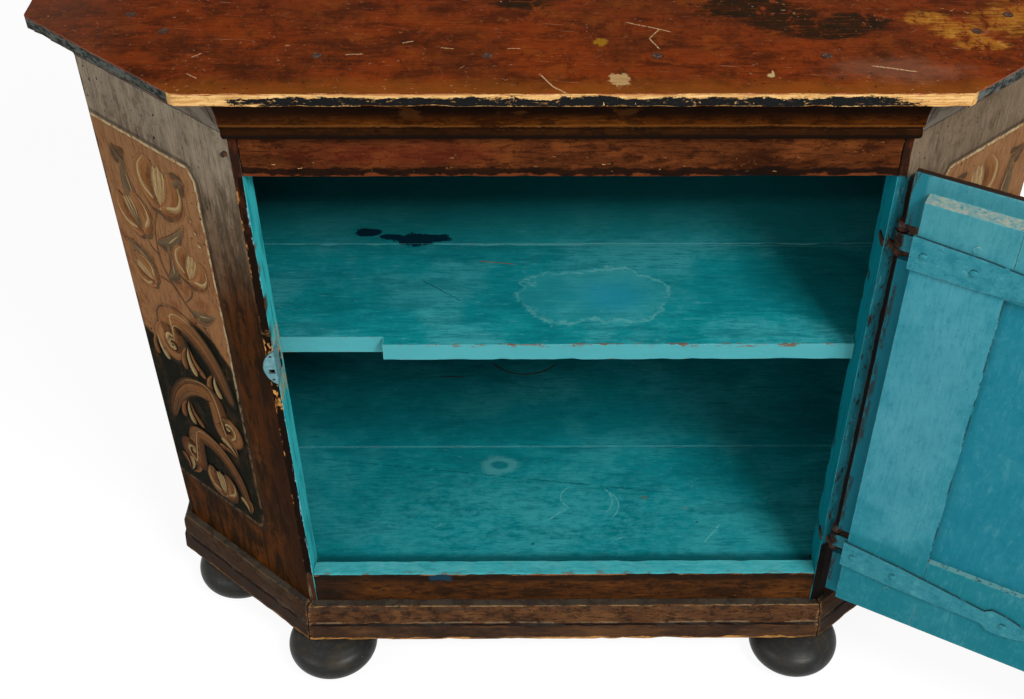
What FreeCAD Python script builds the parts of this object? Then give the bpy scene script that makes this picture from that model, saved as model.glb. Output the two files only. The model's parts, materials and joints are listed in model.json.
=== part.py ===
import FreeCAD, Part
import math
import os

# A low cupboard with canted front corners, one lipped door on two strap hinges, and six bun feet.
# Millimetres.  It is laid out with X = 0 in the middle of the front, Y = 0 in the plane of the front,
# +Y towards the back and Z = 0 on the floor.  Every solid is moved at the end so that the origin is the
# middle of the underside of the whole cupboard's box, with the door open as it stands at rest.

# ---- heights, from the floor up ----
foot_height = 55.0
base_height = 61.0
bottom_rail_height = 54.0
opening_height = 606.0
frieze_height = 46.0         # the part of the frieze that shows under the cornice
cornice_height = 58.0
top_thickness = 13.0

# ---- plan of the case ----
front_width = 650.0          # between the two canted corners
cant_run = 179.0             # how far each canted corner reaches sideways
cant_back = 150.0            # and how far it reaches back
case_depth = 445.0

# ---- boards of the case ----
cant_thickness = 34.0
strip_width = 9.0            # flat front edge of a canted board, beside the door
side_thickness = 22.0
back_thickness = 14.0
back_lap = 10.0              # how much of a side board covers the back boards' ends
back_board_count = 4
frieze_thickness = 21.0
bottom_rail_thickness = 21.0
tenon_thickness = 10.0
tenon_length = 12.0
tenon_set_back = 6.0         # from the front to the tenon
tenon_shoulder = 8.0
nailer_width = 45.0          # flat batten behind the frieze, under the top
nailer_thickness = 28.0

# ---- top ----
top_overhang_front = 40.0
top_overhang_cant = 51.0
top_overhang_side = 21.0
top_overhang_back = 5.0
top_joint_y = 226.0          # joint between the front and the rear board
top_corner_radius = 7.0

# ---- nails that hold the top ----
nail_radius = 2.2
nail_head_radius = 5.0
nail_head_thickness = 1.5
nail_length = 36.0
front_nail_inset = 27.0      # from the front plane
front_nail_spacing = 157.0
front_nail_count = 4
cant_nail_spacing = 49.0
cant_nail_inset = 16.5       # from the canted corner's face
side_nail_inset = 11.0
side_nail_spacing = 160.0

# ---- cornice under the top, and the plain batten that returns along the corners and sides ----
cornice_reach = 18.0
bead_reach = 9.5
bead_height = 13.0
bead_step = 1.5              # groove over the bead
cornice_groove_height = 3.5
cove_reach = 10.5
cove_middle_reach = 12.0
cove_top_reach = 16.0
cornice_fillet_height = 7.0
batten_reach = 12.0
batten_slope_height = 40.0

# ---- base frame ----
base_width = 52.0
base_back_width = 75.0
base_ledge = 8.0
base_fillet_height = 2.5
base_ovolo_reach = 12.5
base_ovolo_height = 29.0
base_step_reach = 15.0
base_groove_height = 4.0
base_reach = 17.0

# ---- feet ----
foot_radius = 58.0
foot_edge_radius = 20.0      # rounding of the ball at its widest
foot_bulge = 1.09            # half height of the ball over half height of the foot
foot_tenon_radius = 8.5
foot_tenon_length = 42.0
front_foot_inset = 20.0      # inside the front's corner, along the front
front_foot_set_back = 4.0
side_foot_from_corner = 54.0
side_foot_inset = 26.0
rear_foot_from_side = 64.0
rear_foot_from_back = 53.0

# ---- floor and shelf ----
floor_drop = 12.0            # floor below the top edge of the bottom rail
floor_thickness = 20.0
floor_joint_y = 232.0
bearer_width = 40.0
bearer_spacing = 260.0
bearer_count = 3
board_gap = 0.5
shelf_above_rail = 365.0
shelf_thickness = 22.0
shelf_set_back = 25.0
shelf_joint_y = 205.0
shelf_notch_length = 112.5
shelf_notch_depth = 13.0
cleat_height = 26.0
cleat_thickness = 18.0
side_cleat_set_back = 14.0   # behind the inner corner
cant_cleat_start = 85.0      # along the canted corner from the front
cant_cleat_length = 114.0

# ---- door ----
open_angle = 151.5           # how far the door stands open at rest
lip_thickness = 9.0
lip_gap = 0.5                # between the lip and the front
inner_thickness = 17.5
lip_overlap_top = 17.0
lip_overlap_bottom = 9.0
lip_overlap_side = 11.5
door_clear_top = 2.0
door_clear_bottom = 3.0
door_clear_hinge = 6.0
door_clear_lock = 4.0
hinge_stile_width = 95.0
lock_stile_width = 100.0
top_rail_width = 83.0
door_rail_width = 121.0
panel_thickness = 9.0
panel_set_in = 7.0           # from the frame's inner face to the panel
panel_tongue = 8.0
panel_play = 1.5
field_height = 5.0
field_bevel = 26.0
field_margin = 6.0
rail_tenon_length = 62.0
rail_tenon_shoulder = 14.0
door_peg_radius = 4.0
door_peg_inset = 37.0        # from the shoulder of the joint
door_peg_length = 22.0
door_peg_proud = 0.8
top_peg_drop = 35.0          # from the top of the inner part of the door
bottom_peg_rise = 50.0

# ---- strap hinges ----
upper_strap_drop = 60.5      # middle of the strap below the opening's top
lower_strap_rise = 88.0      # middle of the strap above the bottom rail
strap_thickness = 3.0
strap_length = 235.0
strap_half_width = 20.0
strap_middle_half_width = 18.5
strap_middle = 67.0
strap_neck_half_width = 10.5
strap_neck = 170.0
strap_leaf_half_width = 18.0
strap_leaf_start = 178.0
strap_leaf_curve = 208.0
strap_leaf_curve_half_width = 13.5
upper_strap_fall = 8.0       # how far each strap's tip hangs below its root
lower_strap_fall = 23.0
strap_nail_places = (10.5, 61.0, 194.0)
strap_nail_radius = 2.2
strap_nail_head_radius = 6.0
strap_nail_head_height = 2.2
strap_nail_length = 20.0
pin_radius = 3.5
pin_clearance = 0.05
pin_past_corner = 4.4        # pin's centre beyond the front's corner
pin_before_front = 8.7
eye_below_middle = 7.5
eye_height = 20.0
eye_play = 0.4
knob_radius = 6.0
knob_height = 12.0
knob_rounding = 2.5
shank_size = 8.0
shank_angle = 114.8          # in plan, from +X
clinch_thickness = 1.8
clinch_length = 17.0
clinch_set_forward = 11.0    # clinch's middle in front of the shank's way out
notch_clearance = 1.2

# ---- lock ----
lock_above_rail = 354.0      # middle of the lock
lock_width = 86.0
lock_height = 72.0
lock_plate_thickness = 2.0
lock_depth = 18.0
lock_cap_width = 66.0
lock_cap_height = 52.0
lock_wall = 2.0
lock_from_edge = 2.0
bolt_thickness = 8.0
bolt_height = 16.0
bolt_below_middle = 10.0
bolt_above_plate = 7.0
bolt_length = 58.0
bolt_clearance = 0.3
bolt_throw = 14.0
mortise_depth = 13.0
mortise_clearance_across = 2.0
mortise_clearance_along = 5.0
keyhole_radius = 3.4
keyhole_slot_width = 3.4
keyhole_slot_length = 13.0
keyhole_from_edge = 44.0
keyhole_above_bolt = 4.0
key_pin_radius = 1.5
escutcheon_thickness = 1.2
escutcheon_half_height = 28.0
escutcheon_half_width = 17.0
escutcheon_waist = 11.0
escutcheon_nail_radius = 1.3
escutcheon_nail_length = 12.0
escutcheon_nail_inset = 7.0
lock_nail_radius = 1.8
lock_nail_head_radius = 3.6
lock_nail_head_height = 1.4
lock_nail_length = 16.0
lock_nail_inset = 5.0

# ---- keeper of the lock ----
keeper_thickness = 1.5
keeper_height = 50.0
keeper_past_corner = 5.5
keeper_leaf_depth = 21.0
keeper_hole = 6.0
keeper_hole_inset = 5.4      # hole's middle from the jamb
keeper_hole_drop = 5.0       # hole's middle below the keeper's
keeper_hole_depth = 6.0
keeper_nail_radius = 1.3
keeper_nail_length = 14.0
keeper_nail_rise = 17.0
keeper_nail_inset = 5.0

# ---- square nail left in the corner of the frieze ----
corner_nail_size = 4.0
corner_nail_proud = 5.0
corner_nail_length = 25.0
corner_nail_drop = 21.0      # below the cornice
corner_nail_along = 6.0      # along the canted corner

# ---- values worked out from those above ----
front_half = front_width / 2
side_x = front_half + cant_run
cant_length = math.hypot(cant_run, cant_back)
cos_cant = cant_run / cant_length
sin_cant = cant_back / cant_length
opening_half = front_half - strip_width

z_base = foot_height
z_case = z_base + base_height
z_rail_top = z_case + bottom_rail_height
z_opening_top = z_rail_top + opening_height
z_cornice = z_opening_top + frieze_height
z_top_under = z_cornice + cornice_height
z_top = z_top_under + top_thickness
z_floor = z_rail_top - floor_drop
z_floor_under = z_floor - floor_thickness
z_shelf = z_rail_top + shelf_above_rail
z_shelf_under = z_shelf - shelf_thickness
inside_back = case_depth - back_thickness
inside_side = side_x - side_thickness

far = 2 * (side_x + case_depth)
origin = FreeCAD.Vector(0, 0, 0)
up = FreeCAD.Vector(0, 0, 1)
along_x = FreeCAD.Vector(1, 0, 0)
along_y = FreeCAD.Vector(0, 1, 0)

# Faces of the case in plan, anticlockwise from the front: outward unit normal and distance.
faces = (
    (0.0, -1.0, 0.0),
    (sin_cant, -cos_cant, sin_cant * front_half),
    (1.0, 0.0, side_x),
    (0.0, 1.0, case_depth),
    (-1.0, 0.0, side_x),
    (-sin_cant, -cos_cant, sin_cant * front_half),
)
FRONT_RIGHT, SIDE_RIGHT = range(2)     # number of the face before each corner
FRONT_LEFT = len(faces) - 1


def corner(index, reach, next_reach=None):
    """Plan point where a face moved out by reach meets the next face, moved out by next_reach."""
    if next_reach is None:
        next_reach = reach
    ax, ay, ad = faces[index]
    bx, by, bd = faces[(index + 1) % len(faces)]
    ad = ad + reach
    bd = bd + next_reach
    det = ax * by - ay * bx
    return ((ad * by - bd * ay) / det, (ax * bd - bx * ad) / det)


def on_cant(along, inward):
    """Plan point along the right canted corner from the front, and inward from its face."""
    return (
        front_half + along * cos_cant - inward * sin_cant,
        along * sin_cant + inward * cos_cant,
    )


def prism(points, z0, z1):
    """Upright prism on a polygon of (x, y) points."""
    corners = [FreeCAD.Vector(x, y, z0) for x, y in points]
    face = Part.Face(Part.makePolygon(corners + corners[:1]))
    return face.extrude(FreeCAD.Vector(0, 0, z1 - z0))


def block(x0, x1, y0, y1, z0, z1):
    """Box between two corners."""
    return Part.makeBox(x1 - x0, y1 - y0, z1 - z0, FreeCAD.Vector(x0, y0, z0))


def rod(radius, x, y, z, direction, length):
    """Cylinder from a point along a direction."""
    return Part.makeCylinder(radius, length, FreeCAD.Vector(x, y, z), direction)


def mirrored(shape):
    """The same piece for the other side of the cupboard."""
    return shape.mirror(origin, along_x)


def at_corner(index):
    """Mitred end of a member at a corner of the case."""
    return lambda reach: corner(index, reach)


def at_back(reach):
    """Square end of a member on the right side, at the back of the case."""
    return (side_x + reach, case_depth)


def member(profile, start, end):
    """Moulded member between two ends; the profile is a polygon of (reach, z) points."""
    wires = []
    for end_point in (start, end):
        points = [FreeCAD.Vector(*end_point(reach), z) for reach, z in profile]
        wires.append(Part.makePolygon(points + points[:1]))
    return Part.makeLoft(wires, True, True)


def round_nail(x, y, z, direction, shank_radius, head_radius, head_height, length):
    """Nail with a flat round head, from the underside of its head along a direction."""
    point = FreeCAD.Vector(x, y, z)
    shank = Part.makeCylinder(shank_radius, length, point, direction)
    head = Part.makeCylinder(head_radius, head_height, point, direction * -1)
    return shank.fuse(head)


nodes = {}


# ---------------------------------------------------------------- frieze, bottom rail, canted corners
def right_tenon(z0, z1):
    """Stub tenon on the right end of a rail between the canted boards."""
    return block(
        opening_half, opening_half + tenon_length,
        tenon_set_back, tenon_set_back + tenon_thickness,
        z0 + tenon_shoulder, z1 - tenon_shoulder,
    )


def cross_rail(thickness, z0, z1):
    """Rail across the front with a stub tenon at each end."""
    tenon = right_tenon(z0, z1)
    rail = block(-opening_half, opening_half, 0, thickness, z0, z1)
    return rail.multiFuse([tenon, mirrored(tenon)]).removeSplitter()


nodes["frieze_board"] = cross_rail(frieze_thickness, z_opening_top, z_top_under)
nodes["bottom_rail"] = cross_rail(bottom_rail_thickness, z_case, z_rail_top)

jamb_back = (cant_thickness - sin_cant * strip_width) / cos_cant
inner_corner = corner(SIDE_RIGHT, -cant_thickness, -side_thickness)
outer_corner = corner(SIDE_RIGHT, 0.0)
cant_plan = [
    (front_half, 0.0),
    (opening_half, 0.0),
    (opening_half, jamb_back),
    inner_corner,
    outer_corner,
]
cant_board = prism(cant_plan, z_case, z_top_under).cut([
    right_tenon(z_opening_top, z_top_under),
    right_tenon(z_case, z_rail_top),
])

nailer_half = opening_half - board_gap
nodes["top_nailing_batten"] = block(
    -nailer_half, nailer_half, frieze_thickness, frieze_thickness + nailer_width,
    z_top_under - nailer_thickness, z_top_under,
)

# ---------------------------------------------------------------- sides and back
side_plan = [
    outer_corner,
    inner_corner,
    (inside_side, inside_back),
    (side_x - back_lap, inside_back),
    (side_x - back_lap, case_depth),
    (side_x, case_depth),
]
nodes["side_board_right"] = prism(side_plan, z_case, z_top_under)
nodes["side_board_left"] = mirrored(nodes["side_board_right"])

back_half = side_x - back_lap
back_board_width = (z_top_under - z_case) / back_board_count
for number in range(back_board_count):
    low = z_case + number * back_board_width
    nodes[f"back_board_{number + 1}"] = block(
        -back_half, back_half, inside_back, case_depth, low, low + back_board_width
    )

# ---------------------------------------------------------------- floor and shelf
gap_plan = [
    (opening_half - board_gap, 0.0),
    (opening_half - board_gap, jamb_back + board_gap / cos_cant),
    corner(SIDE_RIGHT, -cant_thickness - board_gap, -side_thickness - board_gap),
    (inside_side - board_gap, inside_back),
]
inside_plan = gap_plan + [(-x, y) for x, y in reversed(gap_plan)]


def inside_board(y0, y1, z0, z1):
    """Board across the whole inside of the case, from y0 back to y1."""
    return prism(inside_plan, z0, z1).common(block(-far, far, y0, y1, z0, z1))


nodes["floor_board_front"] = inside_board(bottom_rail_thickness, floor_joint_y, z_floor_under, z_floor)
nodes["floor_board_rear"] = inside_board(floor_joint_y, inside_back, z_floor_under, z_floor)

bearers = []
for number in range(bearer_count):
    middle = (number - (bearer_count - 1) / 2) * bearer_spacing
    bearers.append(block(
        middle - bearer_width / 2, middle + bearer_width / 2,
        bottom_rail_thickness, inside_back, z_case, z_floor_under,
    ))
nodes["floor_bearers"] = Part.makeCompound(bearers)

lock_notch = block(
    -opening_half, -opening_half + shelf_notch_length,
    shelf_set_back, shelf_set_back + shelf_notch_depth, z_shelf_under, z_shelf,
)
shelf_front = inside_board(shelf_set_back, shelf_joint_y, z_shelf_under, z_shelf)
nodes["shelf_board_front"] = shelf_front.cut(lock_notch)
nodes["shelf_board_rear"] = inside_board(shelf_joint_y, inside_back, z_shelf_under, z_shelf)

side_cleat = block(
    inside_side - cleat_thickness, inside_side,
    inner_corner[1] + side_cleat_set_back, inside_back, z_shelf_under - cleat_height, z_shelf_under,
)
nodes["shelf_cleat_side_right"] = side_cleat
nodes["shelf_cleat_side_left"] = mirrored(side_cleat)

cant_cleat_end = cant_cleat_start + cant_cleat_length
cant_cleat_plan = [
    on_cant(cant_cleat_start, cant_thickness),
    on_cant(cant_cleat_start, cant_thickness + cleat_thickness),
    on_cant(cant_cleat_end, cant_thickness + cleat_thickness),
    on_cant(cant_cleat_end, cant_thickness),
]
cant_cleat = prism(cant_cleat_plan, z_shelf_under - cleat_height, z_shelf_under)
nodes["shelf_cleat_canted_right"] = cant_cleat
nodes["shelf_cleat_canted_left"] = mirrored(cant_cleat)

# ---------------------------------------------------------------- cornice and battens
bead_top = z_cornice + bead_height
cove_low = bead_top + cornice_groove_height
cove_high = z_top_under - cornice_fillet_height
cornice_profile = [
    (0.0, z_cornice),
    (0.45 * bead_reach, z_cornice),
    (0.80 * bead_reach, z_cornice + 0.20 * bead_height),
    (bead_reach, z_cornice + 0.55 * bead_height),
    (0.90 * bead_reach, bead_top),
    (bead_reach - bead_step, bead_top),
    (bead_reach - bead_step, cove_low),
    (cove_reach, cove_low),
    (cove_middle_reach, cove_low + 0.45 * (cove_high - cove_low)),
    (cove_top_reach, cove_low + 0.85 * (cove_high - cove_low)),
    (cornice_reach, cove_high),
    (cornice_reach, z_top_under),
    (0.0, z_top_under),
]
batten_profile = [
    (0.0, z_cornice),
    (batten_reach, z_cornice + batten_slope_height),
    (batten_reach, z_top_under),
    (0.0, z_top_under),
]
nodes["cornice_front"] = member(cornice_profile, at_corner(FRONT_LEFT), at_corner(FRONT_RIGHT))
nodes["cornice_batten_canted_right"] = member(batten_profile, at_corner(FRONT_RIGHT), at_corner(SIDE_RIGHT))
nodes["cornice_batten_canted_left"] = mirrored(nodes["cornice_batten_canted_right"])
nodes["cornice_batten_side_right"] = member(batten_profile, at_corner(SIDE_RIGHT), at_back)
nodes["cornice_batten_side_left"] = mirrored(nodes["cornice_batten_side_right"])

# ---------------------------------------------------------------- top and its nails
overhangs = (
    top_overhang_front, top_overhang_cant, top_overhang_side,
    top_overhang_back, top_overhang_side, top_overhang_cant,
)
top_plan = [corner(i, overhangs[i], overhangs[(i + 1) % 6]) for i in range(6)]
top_slab = prism(top_plan, z_top_under, z_top)
upright_edges = [edge for edge in top_slab.Edges if abs(edge.tangentAt(edge.FirstParameter).z) > 0.99]
top_slab = top_slab.makeFillet(top_corner_radius, upright_edges)
front_part = block(-far, far, -far, top_joint_y, z_top_under, z_top)

nail_places = []
for number in range(front_nail_count):
    x = (number - (front_nail_count - 1) / 2) * front_nail_spacing
    nail_places.append((x, front_nail_inset))
for side in (-1, 1):
    for step in (-0.5, 0.5):
        x, y = on_cant(cant_length / 2 + step * cant_nail_spacing, cant_nail_inset)
        nail_places.append((side * x, y))
        y = (outer_corner[1] + case_depth) / 2 + step * side_nail_spacing
        nail_places.append((side * (side_x - side_nail_inset), y))
top_nails = [
    round_nail(x, y, z_top - nail_head_thickness, up * -1,
               nail_radius, nail_head_radius, nail_head_thickness, nail_length)
    for x, y in nail_places
]
nodes["top_nails"] = Part.makeCompound(top_nails)
nodes["top_board_front"] = top_slab.common(front_part).cut(top_nails)
nodes["top_board_rear"] = top_slab.cut(front_part).cut(top_nails)
nodes["top_nailing_batten"] = nodes["top_nailing_batten"].cut(top_nails)
for side in ("right", "left"):
    nodes[f"side_board_{side}"] = nodes[f"side_board_{side}"].cut(top_nails)
cant_nails = [nail for nail in top_nails if nail.BoundBox.XMin > opening_half]

# ---------------------------------------------------------------- base frame
groove_top = z_case - base_fillet_height - base_ovolo_height
ovolo_reach = base_ovolo_reach - base_ledge
base_profile = [
    (base_reach - base_width, z_base),
    (base_reach, z_base),
    (base_step_reach, groove_top - base_groove_height),
    (base_ovolo_reach, groove_top),
    (base_ovolo_reach, groove_top + 0.45 * base_ovolo_height),
    (base_ledge + 0.75 * ovolo_reach, groove_top + 0.80 * base_ovolo_height),
    (base_ledge, z_case - base_fillet_height),
    (base_ledge, z_case),
    (base_reach - base_width, z_case),
]
base_inner_half = side_x + base_reach - base_width
base_members = {
    "base_front": member(base_profile, at_corner(FRONT_LEFT), at_corner(FRONT_RIGHT)),
    "base_canted_right": member(base_profile, at_corner(FRONT_RIGHT), at_corner(SIDE_RIGHT)),
    "base_side_right": member(base_profile, at_corner(SIDE_RIGHT), at_back),
    "base_back": block(
        -base_inner_half, base_inner_half, case_depth - base_back_width, case_depth, z_base, z_case
    ),
}
base_members["base_canted_left"] = mirrored(base_members["base_canted_right"])
base_members["base_side_left"] = mirrored(base_members["base_side_right"])

# ---------------------------------------------------------------- feet
foot_middle = foot_height / 2
foot_half = foot_middle * foot_bulge
foot_edge_centre = foot_radius - foot_edge_radius
crown_radius = (foot_edge_centre ** 2 + foot_half ** 2 - foot_edge_radius ** 2) / (
    2 * (foot_half - foot_edge_radius))
crown_centre = foot_half - crown_radius          # above the middle of the foot
crown_start = math.acos((foot_middle - crown_centre) / crown_radius)
crown_end = math.atan2(foot_edge_centre, -crown_centre)
crown = [
    (crown_radius * math.sin(angle), crown_centre + crown_radius * math.cos(angle))
    for angle in (crown_start, (crown_start + crown_end) / 2, crown_end)
]
foot_upper = [FreeCAD.Vector(x, 0, foot_middle + z) for x, z in crown]
foot_lower = [FreeCAD.Vector(x, 0, foot_middle - z) for x, z in reversed(crown)]
foot_widest = FreeCAD.Vector(foot_radius, 0, foot_middle)
foot_axis = [FreeCAD.Vector(0, 0, point.z) for point in (foot_lower[-1], foot_upper[0])]
foot_section = Part.Face(Part.Wire([
    Part.makeLine(foot_axis[0], foot_axis[1]),
    Part.makeLine(foot_axis[1], foot_upper[0]),
    Part.Arc(*foot_upper).toShape(),
    Part.Arc(foot_upper[-1], foot_widest, foot_lower[0]).toShape(),
    Part.Arc(*foot_lower).toShape(),
    Part.makeLine(foot_lower[-1], foot_axis[0]),
]))
foot_ball = foot_section.revolve(origin, up, 360)
foot_tenon = rod(foot_tenon_radius, 0, 0, foot_height, up, foot_tenon_length)
foot = foot_ball.fuse(foot_tenon)

side_foot_x, side_foot_y = on_cant(cant_length - side_foot_from_corner, side_foot_inset)
foot_places = {
    "front": (front_half - front_foot_inset, front_foot_set_back),
    "side": (side_foot_x, side_foot_y),
    "rear": (side_x - rear_foot_from_side, case_depth - rear_foot_from_back),
}
foot_tenons = []
for place, (x, y) in foot_places.items():
    for side, sign in (("left", -1), ("right", 1)):
        move = FreeCAD.Vector(sign * x, y, 0)
        nodes[f"foot_{place}_{side}"] = foot.translated(move)
        foot_tenons.append(foot_tenon.translated(move))
for name, shape in base_members.items():
    nodes[name] = shape.cut(foot_tenons)

# ---------------------------------------------------------------- door, laid out closed
hinge_x = front_half + pin_past_corner
hinge_y = -pin_before_front
y_lip = -lip_gap - lip_thickness
y_lip_back = -lip_gap
y_inner = inner_thickness - lip_gap
y_panel_back = y_inner - panel_set_in
y_panel_front = y_panel_back - panel_thickness

lip_half = opening_half + lip_overlap_side
lip_low = z_rail_top - lip_overlap_bottom
lip_high = z_opening_top + lip_overlap_top
door_hinge_edge = opening_half - door_clear_hinge
door_lock_edge = -(opening_half - door_clear_lock)
door_low = z_rail_top + door_clear_bottom
door_high = z_opening_top - door_clear_top
stile_hinge_x = door_hinge_edge - hinge_stile_width
stile_lock_x = door_lock_edge + lock_stile_width
top_rail_low = door_high - top_rail_width
door_rail_high = door_low + door_rail_width

lip = block(-lip_half, lip_half, y_lip, y_lip_back, lip_low, lip_high)
inner = block(door_lock_edge, door_hinge_edge, y_lip_back, y_inner, door_low, door_high)
door_blank = lip.fuse(inner).removeSplitter()

tongue_space = panel_tongue + panel_play
panel_groove = block(
    stile_lock_x - tongue_space, stile_hinge_x + tongue_space,
    y_panel_front, y_panel_back,
    door_rail_high - tongue_space, top_rail_low + tongue_space,
)
rail_tenons = [
    block(
        stile_lock_x - rail_tenon_length, stile_hinge_x + rail_tenon_length,
        y_panel_front, y_panel_back, low + rail_tenon_shoulder, high - rail_tenon_shoulder,
    )
    for low, high in ((door_low, door_rail_high), (top_rail_low, door_high))
]
stile_cuts = [panel_groove] + rail_tenons


def door_part(x0, x1, z0, z1):
    """The part of the door's blank between two widths and two heights."""
    return door_blank.common(block(x0, x1, -far, far, z0, z1))


hinge_stile = door_part(stile_hinge_x, far, 0, far).cut(stile_cuts)
lock_stile = door_part(-far, stile_lock_x, 0, far).cut(stile_cuts)
top_rail = door_part(stile_lock_x, stile_hinge_x, top_rail_low, far).cut(panel_groove)
door_rail = door_part(stile_lock_x, stile_hinge_x, 0, door_rail_high).cut(panel_groove)
top_rail = top_rail.fuse(rail_tenons[1].cut(door_part(stile_lock_x, stile_hinge_x, 0, far)))
door_rail = door_rail.fuse(rail_tenons[0].cut(door_part(stile_lock_x, stile_hinge_x, 0, far)))

panel = block(
    stile_lock_x - panel_tongue, stile_hinge_x + panel_tongue,
    y_panel_front, y_panel_back,
    door_rail_high - panel_tongue, top_rail_low + panel_tongue,
)


def field_rectangle(inset, y):
    """Closed rectangle inside the door's frame, for the raised field."""
    x0 = stile_lock_x + inset
    x1 = stile_hinge_x - inset
    z0 = door_rail_high + inset
    z1 = top_rail_low - inset
    points = [FreeCAD.Vector(x, y, z) for x, z in ((x0, z0), (x1, z0), (x1, z1), (x0, z1), (x0, z0))]
    return Part.makePolygon(points)


field = Part.makeLoft([
    field_rectangle(field_margin, y_panel_front),
    field_rectangle(field_margin + field_bevel, y_panel_front - field_height),
], True, True)
nodes["door_panel"] = panel.fuse(field)

door_pegs = []
for x in (stile_hinge_x + door_peg_inset, stile_lock_x - door_peg_inset):
    for z in (door_high - top_peg_drop, door_low + bottom_peg_rise):
        door_pegs.append(rod(
            door_peg_radius, x, y_inner + door_peg_proud - door_peg_length, z, along_y, door_peg_length
        ))

# ---------------------------------------------------------------- strap hinges and pintles
eye_inner = pin_radius + pin_clearance
eye_outer = eye_inner + strap_thickness
y_strap = y_inner + strap_thickness
shank_direction = FreeCAD.Vector(math.cos(math.radians(shank_angle)), math.sin(math.radians(shank_angle)), 0)
shank_exit = (hinge_x - opening_half) / -shank_direction.x
clinch_y = hinge_y + shank_exit * shank_direction.y - clinch_set_forward


def strap_middle_z(z, fall, along):
    """Height of a strap's middle line, for a root at z and a tip that hangs by fall."""
    return z - fall * along / strap_length


def strap_plate(z, fall):
    """Flat of a strap on the door's inner face, with z the middle of its root."""
    def point(along, above):
        height = strap_middle_z(z, fall, along) + above
        return FreeCAD.Vector(door_hinge_edge - along, y_inner, height)

    outline = (
        (0.0, strap_half_width),
        (strap_middle, strap_middle_half_width),
        (strap_neck, strap_neck_half_width),
        (strap_leaf_start, strap_leaf_half_width),
    )
    upper = [point(along, above) for along, above in outline]
    lower = [point(along, -above) for along, above in outline]
    tip = point(strap_length, 0.0)
    leaf_upper = Part.Arc(upper[-1], point(strap_leaf_curve, strap_leaf_curve_half_width), tip)
    leaf_lower = Part.Arc(tip, point(strap_leaf_curve, -strap_leaf_curve_half_width), lower[-1])
    edges = [Part.makeLine(a, b) for a, b in zip(upper, upper[1:])]
    edges.append(leaf_upper.toShape())
    edges.append(leaf_lower.toShape())
    edges += [Part.makeLine(a, b) for a, b in zip(lower[::-1], lower[-2::-1])]
    edges.append(Part.makeLine(lower[0], upper[0]))
    return Part.Face(Part.Wire(edges)).extrude(along_y * strap_thickness)


def strap_hinge(z, fall):
    """Strap that lies on the door, wraps its edge and ends in a rolled eye."""
    eye_z = z - eye_below_middle
    eye_low = eye_z - eye_height / 2
    eye_high = eye_z + eye_height / 2
    leg_y = hinge_y + eye_inner
    return_points = [
        FreeCAD.Vector(door_hinge_edge, y, height)
        for y, height in (
            (y_strap, z + strap_half_width),
            (y_inner, z + strap_half_width),
            (y_lip_back, eye_high),
            (leg_y, eye_high),
            (leg_y, eye_low),
            (y_lip_back, eye_low),
            (y_inner, z - strap_half_width),
            (y_strap, z - strap_half_width),
        )
    ]
    edge_return = Part.Face(Part.makePolygon(return_points + return_points[:1]))
    edge_return = edge_return.extrude(along_x * strap_thickness)
    leg = block(door_hinge_edge, hinge_x, leg_y, leg_y + strap_thickness, eye_low, eye_high)
    eye = rod(eye_outer, hinge_x, hinge_y, eye_low, up, eye_height)
    bore = rod(eye_inner, hinge_x, hinge_y, eye_low, up, eye_height)
    strap = strap_plate(z, fall).multiFuse([edge_return, leg, eye]).cut(bore)
    return strap.removeSplitter()


def strap_nails(z, fall):
    """Nails along the middle of a strap."""
    return [
        round_nail(door_hinge_edge - along, y_strap, strap_middle_z(z, fall, along), along_y * -1,
                   strap_nail_radius, strap_nail_head_radius, strap_nail_head_height, strap_nail_length)
        for along in strap_nail_places
    ]


def pintle(z):
    """Pin with a forged knob, on a shank driven through the canted board and clinched."""
    eye_z = z - eye_below_middle
    eye_low = eye_z - eye_height / 2 - eye_play
    eye_high = eye_z + eye_height / 2 + eye_play
    pin = rod(pin_radius, hinge_x, hinge_y, eye_low, up, eye_high - eye_low)
    knob = rod(knob_radius, hinge_x, hinge_y, eye_high, up, knob_height)
    knob = knob.makeFillet(knob_rounding, [e for e in knob.Edges if e.Length < 7 * knob_radius and e.Closed])
    boss = rod(knob_radius, hinge_x, hinge_y, eye_low - shank_size, up, shank_size)
    shank = Part.makeBox(
        shank_exit, shank_size, shank_size, FreeCAD.Vector(0, -shank_size / 2, 0)
    )
    shank.rotate(origin, up, shank_angle)
    shank.translate(FreeCAD.Vector(hinge_x, hinge_y, eye_low - shank_size))
    shank = shank.common(block(opening_half, far, -far, far, 0, far))
    clinch = block(
        opening_half - clinch_thickness, opening_half,
        clinch_y - clinch_length / 2, clinch_y + clinch_length / 2, eye_low - shank_size, eye_low,
    )
    return pin.multiFuse([knob, boss, shank, clinch]).removeSplitter()


straps = {
    "upper": (z_opening_top - upper_strap_drop, upper_strap_fall),
    "lower": (z_rail_top + lower_strap_rise, lower_strap_fall),
}
nails = []
pintles = []
hinge_notches = []
for name, (z, fall) in straps.items():
    own_nails = strap_nails(z, fall)
    nodes[f"strap_hinge_{name}"] = strap_hinge(z, fall).cut(own_nails)
    pintles.append(pintle(z))
    nodes[f"pintle_{name}"] = pintles[-1]
    nails += own_nails
    eye_z = z - eye_below_middle
    notch_low = eye_z - eye_height / 2 - eye_play - shank_size - notch_clearance
    notch_high = eye_z + eye_height / 2 + eye_play + knob_height + notch_clearance
    hinge_notches.append(block(door_hinge_edge, far, -far, y_lip_back, notch_low, notch_high))
nodes["strap_nails"] = Part.makeCompound(nails)

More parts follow.
